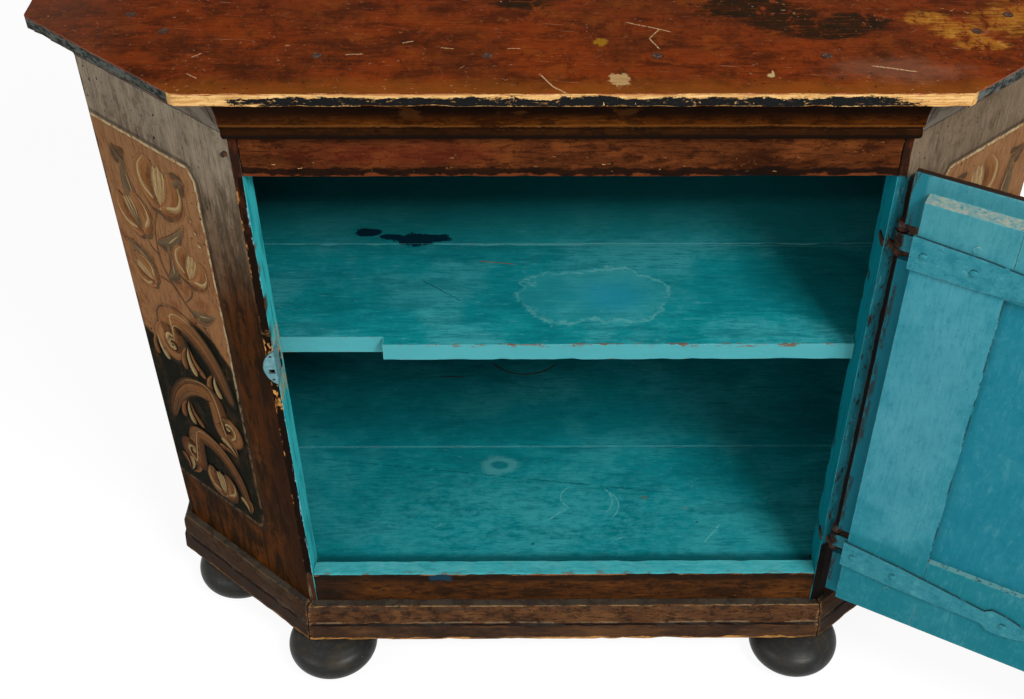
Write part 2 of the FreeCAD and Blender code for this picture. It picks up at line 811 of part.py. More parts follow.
door_wood_cuts = nails + door_pegs
nodes["door_hinge_stile"] = hinge_stile.cut(hinge_notches + door_wood_cuts)
nodes["door_top_rail"] = top_rail.cut(door_wood_cuts)
nodes["door_bottom_rail"] = door_rail.cut(door_wood_cuts)
nodes["door_panel"] = nodes["door_panel"].cut(nails)
nodes["door_pegs"] = Part.makeCompound(door_pegs)

# ---------------------------------------------------------------- lock
lock_z = z_rail_top + lock_above_rail
bolt_z = lock_z - bolt_below_middle
lock_x = door_lock_edge + lock_from_edge
plate_y = y_inner + lock_plate_thickness
cap_y = y_inner + lock_depth
bolt_y = plate_y + bolt_above_plate
bolt_half = bolt_height / 2
keyhole_x = door_lock_edge + keyhole_from_edge
keyhole_z = bolt_z + bolt_half + keyhole_above_bolt

lock_plate = block(
    lock_x, lock_x + lock_width, y_inner, plate_y, lock_z - lock_height / 2, lock_z + lock_height / 2
)
cap_low = lock_z - lock_cap_height / 2
cap_high = lock_z + lock_cap_height / 2
cap = block(lock_x, lock_x + lock_cap_width, plate_y, cap_y, cap_low, cap_high)
cap_hollow = block(
    lock_x + lock_wall, lock_x + lock_cap_width - lock_wall, plate_y, cap_y - lock_wall,
    cap_low + lock_wall, cap_high - lock_wall,
)
bolt = block(
    lock_x, lock_x + bolt_length, bolt_y - bolt_thickness / 2, bolt_y + bolt_thickness / 2,
    bolt_z - bolt_half, bolt_z + bolt_half,
)
bolt_slot = block(
    lock_x, lock_x + lock_wall,
    bolt_y - bolt_thickness / 2 - bolt_clearance, bolt_y + bolt_thickness / 2 + bolt_clearance,
    bolt_z - bolt_half - bolt_clearance, bolt_z + bolt_half + bolt_clearance,
)
keyhole = rod(keyhole_radius, keyhole_x, y_lip - escutcheon_thickness, keyhole_z, along_y,
              plate_y - y_lip + escutcheon_thickness)
keyhole_slot = block(
    keyhole_x - keyhole_slot_width / 2, keyhole_x + keyhole_slot_width / 2,
    y_lip - escutcheon_thickness, plate_y, keyhole_z - keyhole_slot_length, keyhole_z,
)
key_opening = keyhole.fuse(keyhole_slot)
key_pin = rod(key_pin_radius, keyhole_x, y_lip_back, keyhole_z, along_y, cap_y - lock_wall - y_lip_back)

lock_nails = []
for x in (lock_x + lock_nail_inset, lock_x + lock_width - lock_nail_inset):
    for side in (-1, 1):
        z = lock_z + side * (lock_height / 2 - lock_nail_inset)
        lock_nails.append(round_nail(x, plate_y, z, along_y * -1, lock_nail_radius,
                                     lock_nail_head_radius, lock_nail_head_height, lock_nail_length))
nodes["lock_nails"] = Part.makeCompound(lock_nails)
nodes["lock_plate"] = lock_plate.cut(lock_nails + [key_opening])
nodes["lock_cap"] = cap.cut([cap_hollow, bolt_slot]).fuse(key_pin)
nodes["lock_bolt"] = bolt

escutcheon_points = [
    FreeCAD.Vector(keyhole_x + x, y_lip, keyhole_z - keyhole_slot_length / 2 + z)
    for x, z in (
        (0, escutcheon_half_height),
        (escutcheon_half_width, escutcheon_half_height / 2),
        (escutcheon_waist, 0),
        (escutcheon_half_width, -escutcheon_half_height / 2),
        (0, -escutcheon_half_height),
        (-escutcheon_half_width, -escutcheon_half_height / 2),
        (-escutcheon_waist, 0),
        (-escutcheon_half_width, escutcheon_half_height / 2),
        (0, escutcheon_half_height),
    )
]
escutcheon_edges = [
    Part.Arc(*escutcheon_points[i:i + 3]).toShape() for i in range(0, len(escutcheon_points) - 1, 2)
]
escutcheon = Part.Face(Part.Wire(escutcheon_edges)).extrude(along_y * -escutcheon_thickness)
escutcheon_nails = []
for side in (-1, 1):
    z = keyhole_z - keyhole_slot_length / 2 + side * (escutcheon_half_height - escutcheon_nail_inset)
    escutcheon_nails.append(rod(
        escutcheon_nail_radius, keyhole_x, y_lip - escutcheon_thickness, z, along_y, escutcheon_nail_length
    ))
nodes["key_escutcheon"] = escutcheon.cut(escutcheon_nails + [key_opening])
nodes["escutcheon_nails"] = Part.makeCompound(escutcheon_nails)
nodes["door_lock_stile"] = lock_stile.cut(door_pegs + lock_nails + escutcheon_nails + [key_opening])

# ---------------------------------------------------------------- keeper on the left jamb
keeper_low = lock_z - keeper_height / 2
keeper_high = lock_z + keeper_height / 2
keeper_arc = Part.Arc(
    FreeCAD.Vector(-opening_half, 0, keeper_low),
    FreeCAD.Vector(-front_half - keeper_past_corner, 0, lock_z),
    FreeCAD.Vector(-opening_half, 0, keeper_high),
)
keeper_edge = Part.makeLine(keeper_arc.EndPoint, keeper_arc.StartPoint)
front_leaf = Part.Face(Part.Wire([keeper_arc.toShape(), keeper_edge])).extrude(along_y * keeper_thickness)
jamb_leaf = block(
    -opening_half - keeper_thickness, -opening_half, 0, keeper_leaf_depth, keeper_low, keeper_high
)
hook_hole = block(
    -opening_half - keeper_hole_inset - keeper_hole / 2, -opening_half - keeper_hole_inset + keeper_hole / 2,
    0, keeper_hole_depth,
    lock_z - keeper_hole_drop - keeper_hole / 2, lock_z - keeper_hole_drop + keeper_hole / 2,
)
keeper_nails = []
for side in (-1, 1):
    z = lock_z + side * keeper_nail_rise
    keeper_nails.append(rod(
        keeper_nail_radius, -opening_half - keeper_nail_inset, 0, z, along_y, keeper_nail_length
    ))
    keeper_nails.append(rod(
        keeper_nail_radius, -opening_half, keeper_leaf_depth - keeper_nail_inset, z,
        along_x * -1, keeper_nail_length
    ))
keeper = front_leaf.fuse(jamb_leaf).removeSplitter()
nodes["lock_keeper"] = keeper.cut(keeper_nails + [hook_hole])
nodes["keeper_nails"] = Part.makeCompound(keeper_nails)

bolt_mortise = block(
    -opening_half - mortise_depth, -opening_half,
    bolt_y - bolt_thickness / 2 - mortise_clearance_across,
    bolt_y + bolt_thickness / 2 + mortise_clearance_across,
    bolt_z - bolt_half - mortise_clearance_along, bolt_z + bolt_half + mortise_clearance_along,
)

# ---------------------------------------------------------------- canted boards with all their cuts
nail_x, nail_y = on_cant(corner_nail_along, -corner_nail_proud)
corner_nail = Part.makeBox(
    corner_nail_size, corner_nail_length, corner_nail_size,
    FreeCAD.Vector(-corner_nail_size / 2, 0, -corner_nail_size / 2),
)
corner_nail.rotate(origin, up, math.degrees(math.asin(sin_cant)))
corner_nail.translate(FreeCAD.Vector(nail_x, nail_y, z_cornice - corner_nail_drop))
nodes["corner_nail"] = mirrored(corner_nail)
nodes["frieze_board"] = nodes["frieze_board"].cut(nodes["corner_nail"])

nodes["canted_board_right"] = cant_board.cut(cant_nails + pintles)
nodes["canted_board_left"] = mirrored(cant_board.cut(cant_nails)).cut(
    [keeper, hook_hole, bolt_mortise, nodes["corner_nail"]] + keeper_nails
)

# ---------------------------------------------------------------- bodies, rest pose and files
door_nodes = (
    "door_hinge_stile", "door_lock_stile", "door_top_rail", "door_bottom_rail", "door_panel",
    "door_pegs", "strap_hinge_upper", "strap_hinge_lower", "strap_nails",
    "lock_plate", "lock_cap", "lock_nails", "key_escutcheon", "escutcheon_nails", "lock_bolt",
)
for name in door_nodes:
    nodes[name].rotate(FreeCAD.Vector(hinge_x, hinge_y, 0), up, open_angle)

whole = Part.makeCompound(list(nodes.values())).optimalBoundingBox(False, False)
shift = FreeCAD.Vector(-(whole.XMin + whole.XMax) / 2, -(whole.YMin + whole.YMax) / 2, -whole.ZMin)

os.makedirs("parts", exist_ok=True)
for name, shape in nodes.items():
    shape.translate(shift)
    shape.exportStep(f"parts/{name}.step")
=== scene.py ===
import json
import math
import random

import bmesh
import bpy
from mathutils import Matrix, Vector, noise


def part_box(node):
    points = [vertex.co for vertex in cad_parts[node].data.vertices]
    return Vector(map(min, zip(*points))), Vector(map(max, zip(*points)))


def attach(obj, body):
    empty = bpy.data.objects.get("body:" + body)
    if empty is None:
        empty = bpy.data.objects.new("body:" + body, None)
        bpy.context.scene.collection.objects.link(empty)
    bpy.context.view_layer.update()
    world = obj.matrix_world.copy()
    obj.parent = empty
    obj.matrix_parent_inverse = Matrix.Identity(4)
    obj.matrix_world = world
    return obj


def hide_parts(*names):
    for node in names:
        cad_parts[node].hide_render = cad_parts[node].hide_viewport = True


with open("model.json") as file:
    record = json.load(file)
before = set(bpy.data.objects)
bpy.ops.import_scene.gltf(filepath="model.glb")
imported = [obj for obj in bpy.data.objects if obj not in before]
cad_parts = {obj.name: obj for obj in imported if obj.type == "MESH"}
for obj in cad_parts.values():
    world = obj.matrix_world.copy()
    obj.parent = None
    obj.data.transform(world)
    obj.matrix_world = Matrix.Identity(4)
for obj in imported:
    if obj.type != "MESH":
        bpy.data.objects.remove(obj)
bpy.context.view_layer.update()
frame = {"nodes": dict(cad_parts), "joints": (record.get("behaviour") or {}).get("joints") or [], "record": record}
nodes = frame["nodes"]

# Metres.  Case coordinates have X = 0 in the middle of the front, Y = 0 in its plane, Z = 0 on the floor.
frieze_low, frieze_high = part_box("frieze_board")
CASE = Vector(((frieze_low.x + frieze_high.x) / 2, frieze_low.y, 0.0))


def case_box(name):
    """A node's box in case coordinates."""
    low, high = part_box(name)
    return low - CASE, high - CASE


TOP_LOW, TOP_HIGH = case_box("top_board_front")
SIDE_HIGH = case_box("side_board_right")[1]
RAIL_HIGH = case_box("bottom_rail")[1]
SHELF_LOW, SHELF_HIGH = case_box("shelf_board_front")
BASE_LOW, BASE_HIGH = case_box("base_front")
CORNICE_LOW = case_box("cornice_front")[0]
BACK_LOW = case_box("back_board_1")[0]
FRIEZE_BOTTOM = frieze_low.z

FRONT_HALF = 0.325                      # half the front, out to the canted corners
STRIP = 0.009                           # flat front edge of a canted board
CANT_DEPTH = 0.150                      # how far back a canted corner reaches
CANT = Vector((SIDE_HIGH.x - FRONT_HALF, CANT_DEPTH, 0.0))
CANT_ALONG = CANT.normalized()
CANT_OUT = Vector((CANT_ALONG.y, -CANT_ALONG.x, 0.0))
CANT_THICK = 0.034
MITRE_SLOPE = 0.362                     # of the joint between the base's front and canted boards
TOP_REAR = TOP_HIGH.y + 0.220           # rear edge of the top

HINGE_JOINT = next(joint for joint in frame["joints"] if joint["name"] == "door_hinge")
HINGE = Vector(HINGE_JOINT["pos_m"]) - CASE
HINGE.z = 0.0
OPEN_ANGLE = math.radians(-HINGE_JOINT["range_deg"][0])

# The painted field of a canted corner, in metres along it and above the floor.
FIELD_FRONT = 0.066
FIELD_TOP = TOP_HIGH.z - 0.138
FIELD_BOTTOM = TOP_HIGH.z - 0.690
FIELD_MIDDLE = 0.485
FIELD_CUT = 0.009

# Faces of the closed door.
LIP_FRONT = -0.0095
INNER_FACE = 0.017
LIP_TOP = 0.793
LIP_LOW = RAIL_HIGH.z - 0.009
LIP_LOCK = STRIP - FRONT_HALF - 0.0115
DOOR_FRONT = Matrix.Rotation(OPEN_ANGLE, 3, "Z") @ Vector((0.0, -1.0, 0.0))
DOOR_FIELD_FACE = -0.004
DOOR_FIELD_LOW = Vector((-0.172, 0.334))
DOOR_FIELD_HIGH = Vector((0.175, 0.651))
DOOR_DESIGN_SCALE = 0.6                 # of the wavy border between the field's two grounds
DOOR_FIELD_MARGIN = 0.0405              # from the field to the frame's inner edges
DOOR_STILE_EDGE = 0.215                 # inner edge of the hinge stile
DOOR_RAIL_EDGES = (0.294, 0.691)        # inner edges of the two rails


# ------------------------------------------------------------------ camera
PHOTO_WIDTH = 1024
FOCAL_PIXELS = 1388.37
AXIS_PIXEL = 553.5                      # column that the camera's axis meets
CAMERA_PLACE = Vector((-0.0312, -1.1027, TOP_HIGH.z + 0.6612))
PITCH, YAW, ROLL = (math.radians(angle) for angle in (42.3, 0.8, 0.4))

camera = bpy.data.objects.new("camera", bpy.data.cameras.new("camera"))
bpy.context.scene.collection.objects.link(camera)
forward = Vector((math.sin(YAW) * math.cos(PITCH), math.cos(YAW) * math.cos(PITCH), -math.sin(PITCH)))
right = Vector((math.cos(YAW), -math.sin(YAW), 0.0))
above = right.cross(forward)
rolled_right = right * math.cos(ROLL) + above * math.sin(ROLL)
rolled_above = above * math.cos(ROLL) - right * math.sin(ROLL)
axes = Matrix((rolled_right, rolled_above, -forward)).transposed()
camera.matrix_world = Matrix.Translation(CAMERA_PLACE + CASE) @ axes.to_4x4()
camera.data.sensor_width = 36.0
camera.data.lens = camera.data.sensor_width * FOCAL_PIXELS / PHOTO_WIDTH
camera.data.shift_x = (PHOTO_WIDTH / 2 - AXIS_PIXEL) / PHOTO_WIDTH
bpy.context.scene.camera = camera


# ------------------------------------------------------------------ short calls for building materials
def arithmetic(operation, swapped=False):
    """A Python operator that adds a Math node."""
    def apply(self, other):
        pair = (other, self) if swapped else (self, other)
        return self.finish.math(operation, *pair)
    return apply


class Value:
    """A number that a material's node gives; arithmetic on it adds Math nodes."""

    def __init__(self, finish, socket):
        self.finish = finish
        self.socket = socket

    __add__, __radd__ = arithmetic("ADD"), arithmetic("ADD", True)
    __sub__, __rsub__ = arithmetic("SUBTRACT"), arithmetic("SUBTRACT", True)
    __mul__, __rmul__ = arithmetic("MULTIPLY"), arithmetic("MULTIPLY", True)
    __truediv__ = arithmetic("DIVIDE")

    def __abs__(self):
        return self.finish.math("ABSOLUTE", self)


class Finish:
    """One material.  Its methods add nodes and return what they give."""

    def __init__(self, name, roughness=0.5, specular=0.03):
        self.material = bpy.data.materials.new(name)
        self.material.use_nodes = True
        self.tree = self.material.node_tree
        self.shader = self.tree.nodes["Principled BSDF"]
        self.shader.inputs["Roughness"].default_value = roughness
        self.shader.inputs["Specular IOR Level"].default_value = specular
        self.geometry = self.node("ShaderNodeNewGeometry")
        self.coordinates = self.node("ShaderNodeTexCoord")
        self.place = self.vector("SUBTRACT", self.coordinates.outputs["Object"], CASE)
        self.x, self.y, self.z = self.split(self.place)
        self.across = abs(self.x)
        self.facing = self.split(self.geometry.outputs["True Normal"])

    def node(self, kind, **settings):
        made = self.tree.nodes.new(kind)
        for name, value in settings.items():
            setattr(made, name, value)
        return made

    def feed(self, socket, value):
        """Connects or sets an input; a colour is given in thousandths."""
        if isinstance(value, Value):
            value = value.socket
        if isinstance(value, bpy.types.NodeSocket):
            self.tree.links.new(value, socket)
        elif socket.type == "RGBA":
            socket.default_value = (*(part / 1000 for part in value), 1.0)
        else:
            socket.default_value = value

    def math(self, operation, *values):
        made = self.node("ShaderNodeMath", operation=operation)
        for socket, value in zip(made.inputs, values):
            self.feed(socket, value)
        return Value(self, made.outputs[0])

    def most(self, first, *others):
        for other in others:
            first = self.math("MAXIMUM", first, other)
        return first

    def least(self, first, *others):
        for other in others:
            first = self.math("MINIMUM", first, other)
        return first

    def reach(self, x, y):
        """Length of (x, y)."""
        return self.math("SQRT", x * x + y * y)

    def vector(self, operation, first, second):
        made = self.node("ShaderNodeVectorMath", operation=operation)
        self.feed(made.inputs[0], first)
        self.feed(made.inputs[1], second)
        return made.outputs["Vector"]

    def dot(self, first, second):
        made = self.node("ShaderNodeVectorMath", operation="DOT_PRODUCT")
        self.feed(made.inputs[0], first)
        self.feed(made.inputs[1], second)
        return Value(self, made.outputs["Value"])

    def split(self, value):
        made = self.node("ShaderNodeSeparateXYZ")
        self.feed(made.inputs[0], value)
        return [Value(self, socket) for socket in made.outputs[:3]]

    def turned(self, value, centre, angle):
        made = self.node("ShaderNodeVectorRotate", rotation_type="Z_AXIS")
        self.feed(made.inputs["Vector"], value)
        made.inputs["Center"].default_value = centre
        made.inputs["Angle"].default_value = angle
        return made.outputs[0]

    def noise(self, scale, detail=4.0, roughness=0.6, wide=1.0, tall=1.0, stretch=None, distortion=0.0,
              shift=0.0, place=None):
        """Noise from 0 to 1 in case coordinates, made longer by wide (X), tall (Z) or stretch (all three)."""
        mapping = self.node("ShaderNodeMapping")
        self.feed(mapping.inputs["Vector"], self.place if place is None else place)
        mapping.inputs["Location"].default_value = (shift, 0.7 * shift, -shift)
        lengths = stretch or (wide, 1.0, tall)
        mapping.inputs["Scale"].default_value = tuple(scale / length for length in lengths)
        made = self.node("ShaderNodeTexNoise")
        self.feed(made.inputs["Vector"], mapping.outputs[0])
        settings = {"Scale": 1.0, "Detail": detail, "Roughness": roughness, "Distortion": distortion}
        for name, value in settings.items():
            made.inputs[name].default_value = value
        return Value(self, made.outputs[0])

    def ragged(self, scale, amount, shift=0.0, **stretched):
        """Noise about 0, for breaking up an edge."""
        return (self.noise(scale, 6.0, 0.7, shift=shift, **stretched) - 0.5) * amount

    def step(self, value, low, high):
        """0 below low, 1 above high, smooth between; falls instead if low is above high."""
        made = self.node("ShaderNodeMapRange", interpolation_type="SMOOTHSTEP")
        self.feed(made.inputs["Value"], value)
        ends = (low, high, 0.0, 1.0) if low < high else (high, low, 1.0, 0.0)
        for name, end in zip(("From Min", "From Max", "To Min", "To Max"), ends):
            made.inputs[name].default_value = end
        return Value(self, made.outputs[0])

    def blots(self, low, high, *scale_detail_roughness, **more):
        """Patches of noise, 0 where it is below low and 1 where it is above high."""
        return self.step(self.noise(*scale_detail_roughness, **more), low, high)

    def between(self, value, low, high, soft):
        """1 from low to high, 0 outside."""
        return self.step(value, low - soft, low + soft) * self.step(value, high + soft, high - soft)

    def spot(self, centre, radii, soft=0.4, ragged=None, u=None, v=None):
        """Soft ellipse; ragged is a noise that breaks its edge."""
        du = ((self.x if u is None else u) - centre[0]) / radii[0]
        dv = ((self.y if v is None else v) - centre[1]) / radii[1]
        distance = self.reach(du, dv)
        if ragged is not None:
            distance = distance + ragged
        return self.step(distance, 1.0 + soft, 1.0 - soft)

    def spots(self, rows, soft, ragged=None):
        """Several spots, given as (x, y, radius along x, radius along y)."""
        return self.most(*(self.spot(row[:2], row[2:], soft, ragged) for row in rows))

    def line(self, start, end, width, ragged=None):
        """Thin straight mark between two points of the XY plane."""
        start, end = Vector(start), Vector(end)
        length = (end - start).length
        way = (end - start) / length
        from_start_x, from_start_y = self.x - start.x, self.y - start.y
        along = from_start_x * way.x + from_start_y * way.y
        aside = from_start_x * -way.y + from_start_y * way.x
        if ragged is not None:
            aside = aside + ragged
        return self.step(abs(aside), width, width * 0.4) * self.between(along, 0.0, length, length * 0.06)

    def lines(self, rows, ragged=None):
        """Several lines, given as (x, y) of both ends and the width."""
        return self.most(*(self.line(row[:2], row[2:4], row[4], ragged) for row in rows))

    def mix(self, factor, first, second):
        """The first colour where factor is 0, the second where it is 1."""
        made = self.node("ShaderNodeMix", data_type="RGBA")
        self.feed(made.inputs["Factor"], factor)
        self.feed(made.inputs[6], first)
        self.feed(made.inputs[7], second)
        return made.outputs[2]

    def layers(self, colour, *rows):
        """Paints over a first colour.  Colours are linear and in thousandths.

        A row is (mask, colour), or (value, low, high, colour) for a step, or the same with the step's amount
        before the colour.
        """
        for mask, *limits, paint in rows:
            if limits:
                low, high, *amount = limits
                mask = self.step(mask, low, high)
                if amount:
                    mask = mask * amount[0]
            colour = self.mix(mask, colour, paint)
        return colour

    def edges(self, radius=0.003, low=0.02, high=0.2):
        """1 on sharp edges, 0 on flats."""
        rounded = self.node("ShaderNodeBevel", samples=5)
        rounded.inputs["Radius"].default_value = radius
        return self.step(1.0 - self.dot(rounded.outputs[0], self.geometry.outputs["Normal"]), low, high)

    def scratches(self, angle, scale, length, sparse, shift=0.0):
        """Fine straight scratches in one direction of the XY plane."""
        place = self.turned(self.place, (0.0, 0.0, 0.0), math.radians(angle))
        stretch = (length, 1.0, length)
        return self.blots(sparse, sparse + 0.05, scale, 1.0, 0.5, stretch=stretch, shift=shift, place=place)

    def paint(self, colour, roughness=None, height=None, distance=0.0006, strength=0.5):
        """Connects the results and returns the material."""
        self.feed(self.shader.inputs["Base Color"], colour)
        if roughness is not None:
            self.feed(self.shader.inputs["Roughness"], roughness)
        if height is not None:
            bump = self.node("ShaderNodeBump")
            bump.inputs["Strength"].default_value = strength
            bump.inputs["Distance"].default_value = distance
            self.feed(bump.inputs["Height"], height)
            self.feed(self.shader.inputs["Normal"], bump.outputs[0])
        return self.material


# ------------------------------------------------------------------ colours, linear, in thousandths
VARNISH = (124, 21.5, 3.6)
VARNISH_DARK = (30, 5.5, 1.2)
VARNISH_GOLD = (190, 55, 6)
BLACK_PAINT = (8, 8.2, 8.5)
TURQUOISE = (5, 215, 235)
TURQUOISE_DEEP = (1, 120, 140)
TURQUOISE_PALE = (70, 370, 400)
TEAL = (18, 180, 228)
TEAL_DEEP = (6, 118, 160)
TEAL_PALE = (62, 262, 305)
CREAM = (460, 370, 210)
SALMON = (240, 112, 46)
GREEN_BLACK = (5, 5.2, 2.6)
PINE = (360, 230, 120)


def shorter(stretch, share):
    """A noise's stretch divided by share, but nowhere below 1."""
    return tuple(max(1.0, length / share) for length in stretch)


def raw_pine(f):
    """Bare softwood, greyed by age, and its grain."""
    grain = f.noise(210, 5, 0.7, wide=14, distortion=0.2)
    broad = f.noise(26, 4, 0.6, wide=6, distortion=0.6, shift=4.0)
    colour = f.mix(f.step(broad, 0.35, 0.7), PINE, (210, 125, 62))
    return f.mix(f.step(grain, 0.45, 0.8) * 0.55, colour, (110, 65, 35)), grain


def varnished_top():
    """Top: red-brown varnish over softwood, scratched, stained and worn to bare wood along its edges."""
    f = Finish("top_varnish", roughness=0.38, specular=0.008)
    grain = f.noise(400, 6, 0.72, wide=16, distortion=0.1)
    figure = f.noise(40, 7, 0.72, wide=2.4, distortion=0.5, shift=2.0)
    clouds = f.noise(13, 5, 0.66, shift=5.0)
    patches = f.noise(34, 7, 0.72, wide=1.3, shift=13.0)
    smudges = f.noise(70, 7, 0.74, stretch=(1, 1.6, 1), shift=23.0)
    ragged = f.ragged(60, 2.2, 3.0, wide=2.5)
    fine_ragged = f.ragged(300, 1.6, 7.0, wide=6)
    near_edge = f.step(f.y + f.ragged(34, 0.05, 1.0), -0.006, -0.034)
    colour = f.layers(
        VARNISH,
        (clouds, 0.46, 0.6, 0.65, (165, 25, 3.2)), (clouds, 0.5, 0.38, 0.55, (66, 14, 2.4)),
        (figure, 0.48, 0.62, 0.75, (44, 8.2, 1.5)),
        (patches, 0.5, 0.66, 0.6, (30, 6.5, 1)), (patches, 0.45, 0.37, 0.45, (180, 42, 5)),
        (smudges, 0.5, 0.64, 0.45, (22, 4.5, 0.8)), (smudges, 0.43, 0.35, 0.35, (215, 40, 8)),
        (grain, 0.52, 0.62, 0.4, VARNISH_DARK), (grain, 0.42, 0.36, 0.2, (240, 60, 12)),
        (near_edge * 0.55, VARNISH_GOLD),
        (f.x, -0.4, -0.5, 0.35, (85, 42, 26)),
    )
    broken = ragged + fine_ragged * 0.6
    stain = f.spots([
        (0.168, 0.118, 0.052, 0.02), (0.205, 0.096, 0.034, 0.026), (0.248, 0.072, 0.036, 0.018),
        (0.278, 0.092, 0.032, 0.015)], 0.25, broken)
    knot = f.spot((-0.050, 0.124), (0.030, 0.012), 0.30, broken)
    ochre = f.most(
        f.spots([
            (0.342, 0.096, 0.024, 0.012), (0.366, 0.074, 0.024, 0.015), (0.384, 0.048, 0.022, 0.012)],
            0.3, broken),
        f.spot((0.436, 0.092), (0.044, 0.03), 0.4, broken) * 0.9)
    blot = f.ragged(95, 2.6, 5.0)
    cream = f.spot((0.042, -0.015), (0.0095, 0.0115), 0.12, blot)
    cream_small = f.spots([(0.179, -0.008, 0.003, 0.003), (0.1815, -0.004, 0.0012, 0.0045)], 0.3, blot)
    yellow = f.spot((0.027, 0.052), (0.0058, 0.0072), 0.3, blot)
    worn = f.spot((0.3, 0.0), (0.055, 0.02), 0.5, ragged) * 0.35
    stained = f.most(stain, knot) * f.step(smudges, 0.37, 0.46) * f.step(grain, 0.34, 0.44)
    colour = f.layers(
        colour,
        (stained * 0.88, (6.5, 4.8, 1.2)),
        (ochre * f.step(smudges, 0.6, 0.48) * f.step(grain, 0.64, 0.46) * 0.8, (320, 128, 14)),
        (ochre * f.step(smudges, 0.43, 0.38) * 0.35, (480, 230, 40)),
        (worn, (200, 88, 50)),
        (yellow * 0.85, (230, 110, 6)),
        (cream * f.step(grain, 0.66, 0.5) * 0.85, (400, 250, 105)),
        (cream_small * 0.85, (420, 300, 140)),
    )
    bend = f.ragged(40, 0.004, 11.0)
    marks = f.lines([
        (0.053, 0.0888, 0.0934, 0.0706, 0.001), (0.083, 0.0755, 0.0728, 0.0586, 0.0009),
        (0.0728, 0.0586, 0.0812, 0.0385, 0.0009), (-0.0289, -0.0073, -0.0191, -0.026, 0.001),
        (-0.0191, -0.026, -0.003, -0.0405, 0.0011), (-0.209, 0.0285, -0.193, 0.03, 0.001),
        (-0.349, -0.004, -0.339, -0.0125, 0.0009), (-0.35, 0.024, -0.342, 0.031, 0.0008),
        (-0.158, 0.05, -0.148, 0.0525, 0.001), (-0.122, 0.041, -0.11, 0.0395, 0.0008),
        (0.2747, 0.0081, 0.3131, -0.0017, 0.0012), (-0.06, 0.0395, -0.048, 0.04, 0.0008)], bend)
    scratch = f.most(
        f.scratches(7, 700, 18, 0.735) * f.step(clouds, 0.42, 0.55),
        f.scratches(-40, 620, 14, 0.745, 3.0) * f.blots(0.5, 0.58, 17, 2, 0.5, shift=9.0),
        f.scratches(63, 620, 12, 0.745, 7.0) * f.blots(0.5, 0.6, 15, 2, 0.5, shift=4.0),
    )
    gathered = f.blots(0.48, 0.6, 16, 4, 0.6, shift=37.0)
    specks = f.blots(0.675, 0.7, 330, 3, 0.6, wide=1.8, shift=8.0) * (0.35 + gathered * 0.65)
    dots = f.blots(0.715, 0.73, 240, 2, 0.5, wide=1.6, shift=21.0)
    marked = marks * f.blots(0.4, 0.52, 700, 4, 0.7, shift=19.0)
    colour = f.layers(
        colour,
        (dots * 0.85, (10, 4, 2.5)),
        (scratch * 0.4, (420, 220, 120)),
        (specks * 0.6, (460, 270, 150)),
        (marked * 0.8, (550, 360, 180)),
    )

    # The edge: black paint with bare wood on its arrises in front, slate grey on the canted ends.
    upright = f.step(abs(f.facing[2]), 0.8, 0.6)
    in_front = f.step(f.y, TOP_LOW.y + 0.006, TOP_LOW.y + 0.0045) * f.step(f.facing[1], -0.15, -0.45)
    chip = f.noise(90, 8, 0.8, wide=3, shift=1.0)
    chip_small = f.noise(230, 7, 0.78, wide=2, shift=17.0)
    chip_broad = f.noise(34, 3, 0.5, wide=1.4, shift=27.0)
    height = (f.z - TOP_LOW.z) / (TOP_HIGH.z - TOP_LOW.z)
    upper_wear = f.step(height + chip * 1.5 + chip_broad * 0.5, 1.67, 1.71)
    lower_wear = f.step(height - chip_small * 0.9, -0.42, -0.46)
    left_bare = f.step(f.x + chip * 0.22 + height * 0.03, -0.171, -0.179)
    right_bare = f.step(f.x - chip * 0.18, 0.206, 0.214)
    islands = f.step(chip_small, 0.585, 0.605) * f.step(chip_broad, 0.4, 0.54)
    cuts = (
        f.blots(0.625, 0.64, 130, 5, 0.7, wide=0.8, tall=1.6, shift=33.0) * f.step(chip_broad, 0.56, 0.46))
    bare = f.most(upper_wear, lower_wear, left_bare, right_bare, islands, cuts)
    wood = f.layers(
        (580, 345, 125),
        (grain, 0.48, 0.58, 0.65, (340, 145, 35)), (grain, 0.46, 0.36, 0.6, (740, 500, 240)),
        (chip_small, 0.55, 0.62, 0.55, (200, 75, 20)),
        (f.step(height, 0.84, 0.98) * f.step(chip, 0.44, 0.54) * 0.8, (340, 105, 50)),
    )
    black = f.mix(f.step(chip_small, 0.42, 0.34) * 0.6, BLACK_PAINT, (26, 29, 31))
    front_edge = f.mix(bare, black, wood)
    slate = f.layers(
        f.mix(f.blots(0.42, 0.58, 150, 8, 0.8, stretch=(2, 2, 1), shift=14.0), (14, 16, 15), (92, 98, 84)),
        (height + chip * 0.5, 1.1, 1.14, (200, 70, 45)),
    )
    edge = f.mix(in_front, slate, front_edge)
    rim = (
        f.blots(0.46, 0.54, 130, 7, 0.78, wide=4, shift=6.0)
        * f.step(f.y, TOP_LOW.y + 0.0026, TOP_LOW.y + 0.0012) * f.step(f.facing[2], 0.5, 0.8))
    under = f.step(f.facing[2], -0.5, -0.8)
    pine = raw_pine(f)[0]
    colour = f.layers(
        colour,
        (rim, wood),
        (upright, edge),
        (under, (45, 22, 12)),
        (under * f.step(f.y, 0.02, 0.03), f.mix(0.6, pine, (4, 50, 60))),
        (f.y, TOP_REAR - 0.002, TOP_REAR + 0.002, pine),
    )
    dull = 0.36 + clouds * 0.12 + f.most(scratch, upright) * 0.25
    return f.paint(colour, dull, grain * 0.35 + f.most(marked, scratch, dots) * -0.8, 0.0006, 0.3)


